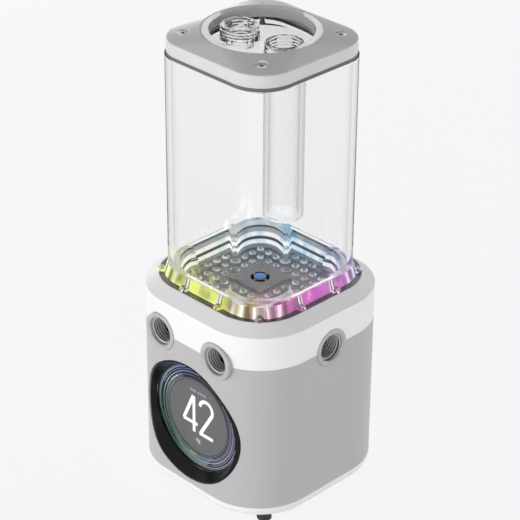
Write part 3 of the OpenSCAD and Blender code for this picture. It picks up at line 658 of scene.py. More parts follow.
def ribbon(bm, points, width, depth):
    """A flat stroke with mitred bends along points on the display's face."""
    half = width / 2
    sides = []
    for i, point in enumerate(points):
        before = points[max(i - 1, 0)]
        after = points[min(i + 1, len(points) - 1)]
        first = (point - before).normalized() if i else (after - point).normalized()
        second = (after - point).normalized() if i < len(points) - 1 else first
        normal = Vector((-(first + second).y, (first + second).x)).normalized()
        spread = half / max(0.35, normal.dot(Vector((-first.y, first.x))))
        sides.append((point + normal * spread, point - normal * spread))
    rows = [[bm.verts.new(display_point(p.x, p.y, depth)) for p in pair] for pair in sides]
    for (a, b), (c, d) in zip(rows, rows[1:]):
        bm.faces.new((a, b, d, c))


def digit_four(height):
    """Strokes of a 4, in a box from (0, 0)."""
    w = 0.47 * height
    level = 0.25 * height
    slant = [(0.72 * w, height), (0.02 * w, level)]
    bar = [(-0.02 * w, level), (1.02 * w, level)]
    stem = [(0.76 * w, height), (0.76 * w, 0.0)]
    return [[Vector(p) for p in stroke] for stroke in (slant, bar, stem)]


def digit_two(height):
    """Stroke of a 2, in a box from (0, 0)."""
    w = 0.42 * height
    r = w / 2
    top = height - r
    arc = [(r + r * math.cos(math.radians(t)), top + r * math.sin(math.radians(t)))
           for t in range(176, -40, -8)]
    foot = 0.045 * height
    stroke = [Vector(p) for p in arc + [(0.02 * w, foot)]]
    return [stroke, [Vector((-0.06 * w, foot)), Vector((1.04 * w, foot))]]


def lit(name, tint, strength=1.0, gauge=False, base=0.02):
    """A lit print on the display, with a faint dot pattern."""
    material, tree, shader = new_material(name)
    shader.inputs["Base Color"].default_value = (base, base, base, 1)
    shader.inputs["Roughness"].default_value = 0.4
    dots = noise(tree, 4200.0, 1)
    source = (*tint, 1)
    if gauge:
        coords = tree.nodes.new("ShaderNodeTexCoord")
        split = tree.nodes.new("ShaderNodeSeparateXYZ")
        tree.links.new(coords.outputs["Object"], split.inputs[0])
        up = maths(tree, "SUBTRACT", split.outputs["Z"], display_z)
        angle = maths(tree, "ARCTAN2", up, split.outputs["X"])
        turn = maths(tree, "MULTIPLY_ADD", angle, 1 / (2 * math.pi), 0.5)
        source = ramp(tree, turn, GAUGE_LIGHT)
    shade = maths(tree, "MULTIPLY_ADD", dots, 0.16, 0.92)
    tree.links.new(mix_colour(tree, 1.0, source, shade, "MULTIPLY"), shader.inputs["Emission Color"])
    shader.inputs["Emission Strength"].default_value = strength
    return material


# Colours of the gauge rings by angle, from -180 (left) through -90 (bottom) to 180
GAUGE_LIGHT = (
    (0.0, (0.16, 0.30, 0.24)),
    (0.12, (0.10, 0.20, 0.13)),
    (0.22, (0.22, 0.34, 0.28)),
    (0.33, (0.36, 0.38, 0.52)),
    (0.45, (0.30, 0.27, 0.50)),
    (0.60, (0.13, 0.12, 0.20)),
    (0.72, (0.16, 0.18, 0.36)),
    (0.83, (0.24, 0.30, 0.62)),
    (0.92, (0.40, 0.58, 0.62)),
    (1.0, (0.16, 0.30, 0.24)),
)


# Gauge rings: share of the glass radius and width in mm
RING_LINES = (
    (0.735, 0.14), (0.80, 0.13), (0.86, 0.30), (0.905, 0.14), (0.945, 0.28), (0.97, 0.12),
)


class DrawDisplay(bpy.types.Operator):
    """Draws the display's face: screen, gauge rings, reading and plain marks"""

    bl_idname = "coolant.draw_display"
    bl_label = "Draw the display"

    def execute(self, context):
        look = context.scene.coolant_display
        glass, tree, shader = new_material("tinted_glass")
        shader.inputs["Base Color"].default_value = (0.93, 0.94, 0.95, 1)
        shader.inputs["Transmission Weight"].default_value = 1.0
        shader.inputs["IOR"].default_value = 1.15
        film = noise(tree, 120.0, 3)
        tree.links.new(maths(tree, "MULTIPLY", film, 0.03), shader.inputs["Roughness"])
        set_material(glass, "display_glass")

        screen = lit("screen_grey", look.screen)
        set_material(screen, "display_panel")
        self.screen_face(screen)
        self.rings()
        self.reading(look)
        return {"FINISHED"}

    def screen_face(self, screen):
        """The lit screen and the black mask round it."""
        bm = bmesh.new()
        flat_ring(bm, 0.0, glass_r * 0.715, 0, 360, 0.05 * MM)
        bmesh.ops.remove_doubles(bm, verts=bm.verts, dist=0.001 * MM)
        add_piece("screen_face", bm, screen, smooth=False)
        mask = grained("mask_black", (0.006, 0.007, 0.010), 0.3, grain=0.02, gloss=0.2)
        bm = bmesh.new()
        flat_ring(bm, glass_r * 0.705, glass_r * 0.998, 0, 360, 0.03 * MM)
        add_piece("screen_mask", bm, mask, smooth=False)

    def rings(self):
        """Concentric gauge rings and the fine lines at the bottom."""
        gauge = lit("gauge_rings", (1, 1, 1), 1.3, gauge=True)
        bm = bmesh.new()
        for share, width in RING_LINES:
            r = glass_r * share
            flat_ring(bm, r - width * MM / 2, r + width * MM / 2, 0, 360, 0.12 * MM)
        for i in range(9):
            r = 0.76 * glass_r + i * 0.56 * MM
            flat_ring(bm, r, r + 0.14 * MM, -150 + 4 * i, -62 - 2 * i, 0.13 * MM)
        add_piece("gauge_rings", bm, gauge, smooth=False)
        glow = lit("gauge_glow", (1, 1, 1), 0.14, gauge=True)
        bm = bmesh.new()
        flat_ring(bm, 0.76 * glass_r, 0.90 * glass_r, -66, 40, 0.10 * MM)
        flat_ring(bm, 0.74 * glass_r, 0.83 * glass_r, 118, 236, 0.10 * MM)
        add_piece("gauge_glow", bm, glow, smooth=False)
        ticks = lit("gauge_ticks", (0.62, 0.78, 0.32), 1.0)
        bm = bmesh.new()
        for angle in (128, 134, 140, -104, -98):
            flat_ring(bm, 0.79 * glass_r, 0.81 * glass_r, angle, angle + 4, 0.15 * MM)
        add_piece("gauge_ticks", bm, ticks, smooth=False)
        gap = grained("gauge_gap", (0.004, 0.004, 0.005), 0.3, grain=0.02, gloss=0.2)
        bm = bmesh.new()
        flat_ring(bm, 0.815 * glass_r, 0.845 * glass_r, 158, 206, 0.14 * MM)
        flat_ring(bm, 0.885 * glass_r, 0.912 * glass_r, 158, 196, 0.14 * MM)
        add_piece("gauge_gap", bm, gap, smooth=False)

    def reading(self, look):
        """The two digits, and plain marks above and below them."""
        white = lit("digit_white", look.digit, 1.05)
        bm = bmesh.new()
        height = look.digit_height
        base = -0.46 * height
        for strokes, left in ((digit_four(height), -0.49 * height), (digit_two(height), 0.075 * height)):
            for n, stroke in enumerate(strokes):
                shifted = [p + Vector((left, base)) for p in stroke]
                ribbon(bm, shifted, look.stroke, (0.16 + 0.004 * n) * MM)
        add_piece("reading_digits", bm, white, smooth=False)
        marks = lit("mark_lilac", (0.36, 0.34, 0.50), 1.0)
        bm = bmesh.new()
        for left in (-4.9, -3.5, -2.1, 0.1, 1.5, 2.9, 4.3):
            ends = [Vector(((left + shift) * MM, 13.3 * MM)) for shift in (0, 0.95)]
            ribbon(bm, ends, 1.35 * MM, 0.16 * MM)
        flat_ring_at(bm, Vector((0.3 * MM, -12.9 * MM)), 1.75 * MM, 1.92 * MM, 0.16 * MM)
        add_piece("reading_marks", bm, marks, smooth=False)
        bm = bmesh.new()
        flat_ring_at(bm, Vector((-0.55 * MM, -12.2 * MM)), 0.16 * MM, 0.42 * MM, 0.165 * MM)
        flat_ring_at(bm, Vector((0.65 * MM, -12.9 * MM)), 0.5 * MM, 0.8 * MM, 0.165 * MM)
        add_piece("reading_unit_marks", bm, white, smooth=False)


def flat_ring_at(bm, centre, inner, outer, depth):
    """A small ring about a point on the display's face."""
    count = 24
    rows = []
    for i in range(count):
        t = 2 * math.pi * i / count
        way = Vector((math.cos(t), math.sin(t)))
        rows.append([bm.verts.new(display_point(*(centre + way * r), depth)) for r in (inner, outer)])
    for (a, b), (c, d) in zip(rows, rows[1:] + rows[:1]):
        bm.faces.new((a, b, d, c))


# Brightness of the terraces by height, from the floor (0) to the top of the guide (1)
TERRACE_BANDS = (
    (0.0, 0.50), (0.03, 1.0), (0.23, 0.95), (0.25, 0.05), (0.39, 0.06), (0.42, 1.0), (0.63, 0.95),
    (0.65, 0.40), (0.88, 0.36), (0.90, 0.05), (0.985, 0.06), (0.99, 0.9),
)

# The notched liner stands inside the floor plate's rim; its clearances are estimates
floor_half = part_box("floor_plate")[1].x
intake_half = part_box("intake_cover")[1].x
LINER_CLEARANCE = 0.4 * MM
LINER_WALL = 1.5 * MM
NOTCH_DEPTH = 6.0 * MM
NOTCH_WIDTH = 3.2 * MM
LINER_HALF = floor_half - LINER_CLEARANCE
LINER_CORNER_R = 0.425 * LINER_HALF
WALL_A = LINER_HALF - LINER_WALL
NOTCH_START = intake_half + LINER_CLEARANCE
NOTCH_TIP = Vector((WALL_A - NOTCH_DEPTH, NOTCH_START - NOTCH_WIDTH))
BAY_CENTRE = WALL_A / 2
PLAIN_R = WALL_A - NOTCH_START
TERRACE_STEP = LINER_WALL / 5


def notched_outline(spread):
    """Inner outline of the terraces, widened by spread, anticlockwise."""
    tip = NOTCH_TIP + Vector((spread, 0))
    wall = WALL_A + spread
    bay_r = (NOTCH_TIP - Vector((BAY_CENTRE, BAY_CENTRE))).length + spread
    first = math.atan2(tip.y - BAY_CENTRE, tip.x - BAY_CENTRE)
    notched = [Vector((wall, 0)), Vector((wall, NOTCH_START)), tip]
    notched += arc_points(BAY_CENTRE, bay_r, first, math.pi / 2 - first, 24)[1:-1]
    notched += [Vector((tip.y, tip.x)), Vector((NOTCH_START, wall))]
    plain = [Vector((wall, 0)), Vector((wall, NOTCH_START))]
    plain += arc_points(wall - PLAIN_R, PLAIN_R, 0, math.pi / 2, 24)
    plain += [Vector((NOTCH_START, wall))]
    outline = []
    for turn in range(4):
        c, s = round(math.cos(turn * math.pi / 2)), round(math.sin(turn * math.pi / 2))
        quarter = notched if turn % 2 else plain
        outline += [Vector((c * q.x - s * q.y, s * q.x + c * q.y)) for q in quarter]
    return outline


def arc_points(centre, radius, first, last, count):
    """Points of an arc about (centre, centre)."""
    steps = (first + (last - first) * i / count for i in range(count + 1))
    return [Vector((centre + radius * math.cos(t), centre + radius * math.sin(t))) for t in steps]


def rounded_square(half, radius, count=12):
    """Outline of a square with rounded corners, anticlockwise."""
    points = []
    for turn in range(4):
        middle = Vector((half - radius, half - radius))
        for i in range(count + 1):
            angle = math.pi / 2 * i / count
            q = middle + radius * Vector((math.cos(angle), math.sin(angle)))
            c, s = round(math.cos(turn * math.pi / 2)), round(math.sin(turn * math.pi / 2))
            points.append(Vector((c * q.x - s * q.y, s * q.x + c * q.y)))
    return points


def terrace_liner():
    """Stepped inner wall of the guide, notched at two opposite corner bays and plain at the others."""
    rise = guide_z - floor_z
    levels = ((0.0, 0), (0.24, 0), (0.25, 1), (0.40, 1), (0.42, 2), (0.64, 2), (0.66, 3), (0.89, 3),
              (0.90, 4), (1.008, 4))
    bm = bmesh.new()
    rings = []
    for share, step in levels:
        outline = notched_outline(step * TERRACE_STEP)
        rings.append([(q.x, q.y, floor_z - 0.1 * MM + share * rise) for q in outline])
    rows = loft(bm, rings)
    bottom = floor_z - 0.1 * MM
    top = floor_z - 0.1 * MM + levels[-1][0] * rise
    shell = rounded_square(LINER_HALF, LINER_CORNER_R)
    outer = loft(bm, [[(q.x, q.y, z) for q in shell] for z in (bottom, top)])
    bm.edges.ensure_lookup_table()
    for row in ((rows[-1], outer[-1]), (rows[0], outer[0])):
        edges = []
        for ring in row:
            for first, second in zip(ring, ring[1:] + ring[:1]):
                edges.append(bm.edges.get((first, second)))
        bmesh.ops.triangle_fill(bm, edges=edges, use_beauty=True)
    bmesh.ops.recalc_face_normals(bm, faces=bm.faces)
    return bm


# Share of the guide's light that leaves through its flat top
TOP_GLOW = 0.6


def side_place(tree, split):
    """Sockets for the farther and nearer of |x| and |y|."""
    across = maths(tree, "ABSOLUTE", split.outputs["X"])
    along = maths(tree, "ABSOLUTE", split.outputs["Y"])
    return maths(tree, "MAXIMUM", across, along), maths(tree, "MINIMUM", across, along)


def band(tree, value, centre, half, soft):
    """1 within half of centre, falling to 0 over soft."""
    away = maths(tree, "ABSOLUTE", maths(tree, "SUBTRACT", value, centre))
    return maths(tree, "MULTIPLY_ADD", away, -1 / soft, (half + soft) / soft, clamp=True)


def glow_material(name):
    """A guide material with its place sockets ready."""
    material, tree, shader = new_material(name)
    coords = tree.nodes.new("ShaderNodeTexCoord")
    split = tree.nodes.new("ShaderNodeSeparateXYZ")
    tree.links.new(coords.outputs["Object"], split.inputs[0])
    hue = group_node(tree, "ring_light").outputs["Colour"]
    height = maths(tree, "MULTIPLY_ADD", split.outputs["Z"], 1 / (guide_z - floor_z),
                   -floor_z / (guide_z - floor_z))
    return material, tree, shader, split, hue, height


def finish_glow(tree, shader, glow, strength):
    """Feeds the glow to the shader over a glossy dark body."""
    tree.links.new(glow, shader.inputs["Emission Color"])
    shader.inputs["Emission Strength"].default_value = strength
    shader.inputs["Base Color"].default_value = (0.03, 0.03, 0.032, 1)
    polish = noise(tree, 240.0, 3)
    tree.links.new(maths(tree, "MULTIPLY_ADD", polish, 0.10, 0.04), shader.inputs["Roughness"])
    shader.inputs["Coat Weight"].default_value = 0.15


def terrace_light(tree, split, hue, height):
    """White light in bands between dark steps, with spots of the ring colour and a painted highlight at the
    notch tips.
    """
    far, near = side_place(tree, split)
    steps = ramp(tree, height, [(p, (v, v, v)) for p, v in TERRACE_BANDS])
    blot = noise(tree, 130.0, 2, stretch=(1, 1, 0.5))
    spots = maths(tree, "MULTIPLY_ADD", blot, 5.0, -2.2, clamp=True)
    pale = mix_colour(tree, maths(tree, "MULTIPLY_ADD", spots, 0.85, 0.08), (1, 1, 1, 1), hue)
    inner = mix_colour(tree, 1.0, pale, steps, "MULTIPLY")
    top = maths(tree, "GREATER_THAN", height, 0.988)
    dim = maths(tree, "MULTIPLY_ADD", top, TOP_GLOW - 1.0, 1.0)
    inner = mix_colour(tree, 1.0, inner, dim, "MULTIPLY")
    # Painted highlight: towards the notch tips the light turns whiter.
    tip_far = maths(tree, "SUBTRACT", far, NOTCH_TIP.x)
    tip_near = maths(tree, "SUBTRACT", near, NOTCH_TIP.y)
    reach = maths(tree, "SQRT", maths(tree, "ADD", maths(tree, "MULTIPLY", tip_far, tip_far),
                                      maths(tree, "MULTIPLY", tip_near, tip_near)))
    rib = maths(tree, "MULTIPLY_ADD", reach, -1 / (0.9 * MM), 1.6, clamp=True)
    return mix_colour(tree, maths(tree, "MULTIPLY", rib, 0.35), inner, (0.9, 0.97, 1, 1))


def terrace_material():
    """The lit terraces of the guide's inner wall."""
    material, tree, shader, split, hue, height = glow_material("lit_terraces")
    finish_glow(tree, shader, terrace_light(tree, split, hue, height), 0.92)
    return material


def outer_glow_material():
    """The guide outer wall: saturated glow with painted highlight and shade lines on its ribs and corners,
    darker towards its bottom as painted shade.
    """
    material, tree, shader, split, hue, height = glow_material("lit_guide")
    far, near = side_place(tree, split)
    cloud = noise(tree, 95.0, 3, stretch=(1, 1, 0.7))
    shine = ramp(tree, cloud, (
        (0.30, (0.22, 0.20, 0.20)), (0.45, (0.75, 0.75, 0.75)), (0.56, (1, 1, 1)), (0.72, (1.1, 1.1, 1.1)),
    ))
    wall = mix_colour(tree, 1.0, hue, shine, "MULTIPLY")
    # Painted highlight: white flares where the noise is high.
    flare = maths(tree, "MULTIPLY_ADD", cloud, 9.0, -5.6, clamp=True)
    wall = mix_colour(tree, maths(tree, "MULTIPLY", flare, 0.8), wall, (1, 1, 1, 1))
    # Painted highlight and shade stripes near the corners.
    angle = maths(tree, "ARCTAN2", split.outputs["Y"], split.outputs["X"])
    wave = maths(tree, "SINE", maths(tree, "MULTIPLY_ADD", angle, 46.0, maths(tree, "MULTIPLY", cloud, 5.0)))
    corner = maths(tree, "MULTIPLY_ADD", near, 1 / (4 * MM), -4.0, clamp=True)
    dark = maths(tree, "MULTIPLY", corner, maths(tree, "MULTIPLY_ADD", wave, -2.5, -0.4, clamp=True))
    wall = mix_colour(tree, maths(tree, "MULTIPLY", dark, 0.8), wall, (0.06, 0.03, 0.035, 1))
    bright = maths(tree, "MULTIPLY", corner, maths(tree, "MULTIPLY_ADD", wave, 3.0, -1.7, clamp=True))
    wall = mix_colour(tree, maths(tree, "MULTIPLY", bright, 0.75), wall, (1, 0.96, 0.96, 1))
    # Painted highlight and shade lines along the ribs.
    for place, painted_light_tone, half, soft in RIB_LIGHT_AND_SHADE:
        wall = mix_colour(tree, band(tree, near, place, half, soft), wall, (*painted_light_tone, 1))
    # Painted shade: the wall darkens towards its bottom, below the level of the floor.
    low_rim = maths(tree, "MULTIPLY_ADD", height, 6.0, 2.3, clamp=True)
    wall = mix_colour(tree, 1.0, wall, maths(tree, "MULTIPLY_ADD", low_rim, 0.7, 0.3), "MULTIPLY")
    top = maths(tree, "GREATER_THAN", height, 0.985)
    blot = maths(tree, "MULTIPLY_ADD", noise(tree, 120.0, 2), 6.0, -2.6, clamp=True)
    flat = mix_colour(tree, blot, (0.95, 0.98, 1, 1), hue)
    flat = mix_colour(tree, 1.0, flat, (TOP_GLOW, TOP_GLOW, TOP_GLOW, 1), "MULTIPLY")
    glow = mix_colour(tree, top, wall, flat)
    geometry = tree.nodes.new("ShaderNodeNewGeometry")
    level = tree.nodes.new("ShaderNodeVectorMath")
    level.operation = "MULTIPLY"
    level.inputs[1].default_value = (1, 1, 0)
    tree.links.new(geometry.outputs["Position"], level.inputs[0])
    outward = tree.nodes.new("ShaderNodeVectorMath")
    outward.operation = "DOT_PRODUCT"
    tree.links.new(level.outputs[0], outward.inputs[0])
    tree.links.new(geometry.outputs["True Normal"], outward.inputs[1])
    inside = maths(tree, "LESS_THAN", outward.outputs["Value"], -0.001)
    inside = maths(tree, "MULTIPLY", inside, maths(tree, "LESS_THAN", height, 0.985))
    glow = mix_colour(tree, inside, glow, terrace_light(tree, split, hue, height))
    finish_glow(tree, shader, glow, 0.88)
    return material


# Painted highlight and shade lines that stand for upright ribs in the guide outer wall: distance from the
# side middle, tone, half width, softness
RIB_LIGHT_AND_SHADE = (
    (0.0112, (0.10, 0.07, 0.07), 0.00020, 0.0003),
    (0.0104, (0.95, 0.93, 0.90), 0.00030, 0.0003),
    (0.0096, (0.16, 0.12, 0.12), 0.00015, 0.0003),
    (0.0089, (0.80, 0.75, 0.72), 0.00015, 0.0003),
)


class LightGuide(bpy.types.Operator):
    """Lights the guide, its LEDs and the dimpled floor"""

    bl_idname = "coolant.light_guide"
    bl_label = "Light the guide"

    def execute(self, context):
        look = context.scene.coolant_guide
        set_material(outer_glow_material(), "light_guide")
        add_piece("guide_terraces", terrace_liner(), terrace_material(), smooth=False)
        led, tree, shader = new_material("led_lens")
        hue = group_node(tree, "ring_light").outputs["Colour"]
        spot = noise(tree, 700.0, 1)
        tree.links.new(mix_colour(tree, spot, hue, (1, 1, 1, 1)), shader.inputs["Emission Color"])
        shader.inputs["Emission Strength"].default_value = 1.5
        set_material(led, "leds")
        floor = self.floor_material(look)
        set_material(floor, "floor_plate", "intake_cover")
        self.dimples(look)
        self.intake_ridge()
        self.blue_cap()
        return {"FINISHED"}

    def intake_ridge(self):
        """Thin raised line round the intake cover, lighter than the cover as a painted highlight of its
        upper edges.
        """
        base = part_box("intake_cover")[1]
        half, radius = base.x - 0.25 * MM, 0.8 * MM
        bm = bmesh.new()
        rows = []
        for grow, rise in ((0.0, -0.05), (0.05, 0.14), (0.22, 0.14), (0.27, -0.05)):
            outline = rounded_square(half - 0.27 * MM + grow * MM, radius)
            rows.append([(q.x, q.y, base.z + rise * MM) for q in outline])
        loft(bm, rows, closed_path=True)
        bmesh.ops.recalc_face_normals(bm, faces=bm.faces)
        # Painted highlight: the light grey of the ridge stands for the shine on the upper edges of the
        # cover.
        ridge = grained("ridge_highlight_grey", (0.42, 0.42, 0.42), 0.3, grain=0.05)
        add_piece("intake_ridge", bm, ridge)

    def blue_cap(self):
        """Small blue cap over the middle of the intake."""
        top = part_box("intake_cover")[1].z
        shape = ((2.85, -0.05), (2.85, 0.35), (2.4, 0.62), (1.0, 0.72))
        bm = bmesh.new()
        rows = loft(bm, [circle_points(r * MM, top + rise * MM, 40) for r, rise in shape])
        bm.faces.new(rows[0][::-1])
        bm.faces.new(rows[-1])
        bmesh.ops.recalc_face_normals(bm, faces=bm.faces)
        blue = frame["nodes"]["impeller"].data.materials[0]
        add_piece("intake_hub", bm, blue)

    def floor_material(self, look):
        """Smoked floor with the coloured light of the ring painted on it towards its rim."""
        material, tree, shader = new_material("smoked_floor")
        coords = tree.nodes.new("ShaderNodeTexCoord")
        split = tree.nodes.new("ShaderNodeSeparateXYZ")
        tree.links.new(coords.outputs["Object"], split.inputs[0])
        # Painted light: the ring colours glow on the floor near the walls, broken up by noise.
        away = maths(tree, "MAXIMUM", maths(tree, "ABSOLUTE", split.outputs["X"]),
                     maths(tree, "ABSOLUTE", split.outputs["Y"]))
        rim = maths(tree, "MULTIPLY_ADD", away, 1 / (14 * MM), -16 / 14, clamp=True)
        hue = group_node(tree, "ring_light").outputs["Colour"]
        mottle = noise(tree, 420.0, 3)
        amount = maths(tree, "MULTIPLY", rim, maths(tree, "MULTIPLY", mottle, 0.35))
        glow = mix_colour(tree, amount, (0, 0, 0, 1), hue)
        tree.links.new(glow, shader.inputs["Emission Color"])
        shader.inputs["Emission Strength"].default_value = 0.6
        surface = group_node(tree, "surface_grain", Scale=900.0, Roughness=0.16, Spread=0.04,
                             Colour=(*look.smoke, 1), Mottle=0.3)
        tree.links.new(surface.outputs["Colour"], shader.inputs["Base Color"])
        tree.links.new(surface.outputs["Roughness"], shader.inputs["Roughness"])
        shader.inputs["Metallic"].default_value = 0.35
        shader.inputs["Coat Weight"].default_value = 0.5
        return material

    def dimples(self, look):
        """Rows of small domes on the floor round the intake cover."""
        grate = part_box("intake_cover")[1].x
        margin = 0.5 * MM
        bm = bmesh.new()
        pitch = look.dimple_pitch
        count = int(WALL_A / pitch) + 1
        bay_r = (NOTCH_TIP - Vector((BAY_CENTRE, BAY_CENTRE))).length - look.dimple_r - margin
        notch = Vector((WALL_A - NOTCH_DEPTH / 2, NOTCH_START - NOTCH_WIDTH / 2))
        for row in range(-count, count):
            for column in range(-count, count):
                x, y = (column + 0.5) * pitch, (row + 0.5) * pitch
                far, near = max(abs(x), abs(y)), min(abs(x), abs(y))
                in_bay = (Vector((abs(x), abs(y))) - Vector((BAY_CENTRE, BAY_CENTRE))).length < bay_r
                by_wall = near < NOTCH_START + look.dimple_r and far < WALL_A - look.dimple_r - margin
                by_notch = x * y < 0 and (Vector((far, near)) - notch).length < 0.75 * NOTCH_DEPTH
                in_middle = far < NOTCH_TIP.x - look.dimple_r
                if far < grate + look.dimple_r or by_notch or not (in_bay or by_wall or in_middle):
                    continue
                rings = []
                for share, rise in ((1.0, -0.02), (0.88, 0.22), (0.66, 0.38), (0.36, 0.46), (0.12, 0.49)):
                    ring = circle_points(look.dimple_r * share, rise * look.dimple_r, 20)
                    rings.append([p + Vector((x, y, floor_z)) for p in ring])
                rows = loft(bm, rings)
                bm.faces.new(rows[-1])
        add_piece("floor_dimples", bm, self.dimple_material(look))

    def dimple_material(self, look):
        """Smoked dimples with painted glints of the corner bay light on their flanks."""
        material, tree, shader = new_material("floor_dimple")
        geometry = tree.nodes.new("ShaderNodeNewGeometry")
        split = tree.nodes.new("ShaderNodeSeparateXYZ")
        tree.links.new(geometry.outputs["Normal"], split.inputs[0])
        # Painted glints: the steep flanks glow in a pale mix of the ring colour, in noisy specks.
        lean = maths(tree, "ADD", maths(tree, "ABSOLUTE", split.outputs["X"]),
                     maths(tree, "ABSOLUTE", split.outputs["Y"]))
        catch = maths(tree, "MULTIPLY_ADD", lean, 3.6, -0.9, clamp=True)
        glint_specks = maths(tree, "MULTIPLY_ADD", noise(tree, 420.0, 2), 3.2, -1.0, clamp=True)
        hue = group_node(tree, "ring_light").outputs["Colour"]
        painted_light_tone = mix_colour(tree, 0.25, (0.50, 0.51, 0.52, 1), hue)
        glow = mix_colour(tree, maths(tree, "MULTIPLY", catch, glint_specks), (0.012, 0.012, 0.014, 1), painted_light_tone)
        tree.links.new(glow, shader.inputs["Emission Color"])
        shader.inputs["Emission Strength"].default_value = 0.9
        surface = group_node(tree, "surface_grain", Scale=900.0, Roughness=0.12, Spread=0.03,
                             Colour=(*look.smoke, 1), Mottle=0.3)
        tree.links.new(surface.outputs["Colour"], shader.inputs["Base Color"])
        tree.links.new(surface.outputs["Roughness"], shader.inputs["Roughness"])
        shader.inputs["Coat Weight"].default_value = 0.6
        return material


# How far above the guide its flecks of light reach in the tube
FLECK_REACH = 26 * MM


class FinishReservoir(bpy.types.Operator):
    """Finishes the clear reservoir, its cap, bosses and drop tube"""

    bl_idname = "coolant.finish_reservoir"
    bl_label = "Finish the reservoir"

    def execute(self, context):
        clear = clear_acrylic("clear_acrylic", (0.985, 0.99, 0.99), ior=1.35, density=16.0)
        set_material(clear, "fill_port", "return_port")
        set_material(clear_acrylic("clear_cap", (0.985, 0.99, 0.99), ior=1.2, density=12.0), "top_cap")
        # The dark rim colour of the drop tube is painted shade at its turned-away edges.
        drop = clear_acrylic(
            "clear_drop_tube", (1, 1, 1), rim=(0.08, 0.08, 0.08), power=2.4, ior=1.12, density=12.0,
        )
        set_material(drop, "drop_tube")
        set_material(self.tube_material(), "reservoir_tube")
        return {"FINISHED"}

    def tube_material(self):
        """Clear acrylic with coloured flecks of light near the guide and painted shade at its turned-away
        edges.
        """
        material, tree, shader = new_material("clear_tube")
        # Painted shade at the turned-away edges of the tube.
        painted_glass_rim_shade(tree, shader, (1, 1, 1), (0.30, 0.30, 0.30), 3.4)
        absorb(tree, 7.0)
        shader.inputs["Transmission Weight"].default_value = 1.0
        shader.inputs["IOR"].default_value = 1.12
        marks = group_node(tree, "surface_grain", Scale=160.0, Roughness=0.02, Spread=0.006)
        tree.links.new(marks.outputs["Roughness"], shader.inputs["Roughness"])
        coords = tree.nodes.new("ShaderNodeTexCoord")
        split = tree.nodes.new("ShaderNodeSeparateXYZ")
        tree.links.new(coords.outputs["Object"], split.inputs[0])
        fall = maths(tree, "MULTIPLY_ADD", split.outputs["Z"], -1 / FLECK_REACH,
                     1 + guide_z / FLECK_REACH, clamp=True)
        flecks = noise(tree, 150.0, 3, stretch=(1, 1, 0.55))
        spots = ramp(tree, flecks, ((0.60, (0, 0, 0)), (0.72, (1, 1, 1))))
        hue = group_node(tree, "ring_light").outputs["Colour"]
        power = maths(tree, "MULTIPLY", maths(tree, "POWER", fall, 2.0), 0.4)
        glow = mix_colour(tree, 1.0, mix_colour(tree, 1.0, hue, spots, "MULTIPLY"), power, "MULTIPLY")
        tree.links.new(glow, shader.inputs["Emission Color"])
        shader.inputs["Emission Strength"].default_value = 1.0
        return material


# ---- stage ----


# Where the camera aims, and how much of the floor's white shows over its shadow
AIM_X = -3.427 * MM
AIM_Y = 3.21 * MM
AIM_SHARE = 0.48
FLOOR_WHITE = 0.85


def shows_backdrop(tree):
    """1 for the rays that show a white backdrop: camera, glossy and transmission rays."""
    path = tree.nodes.new("ShaderNodeLightPath")
    return maths(tree, "MAXIMUM", path.outputs["Is Camera Ray"],
                 maths(tree, "MAXIMUM", path.outputs["Is Glossy Ray"],
                       path.outputs["Is Transmission Ray"]))


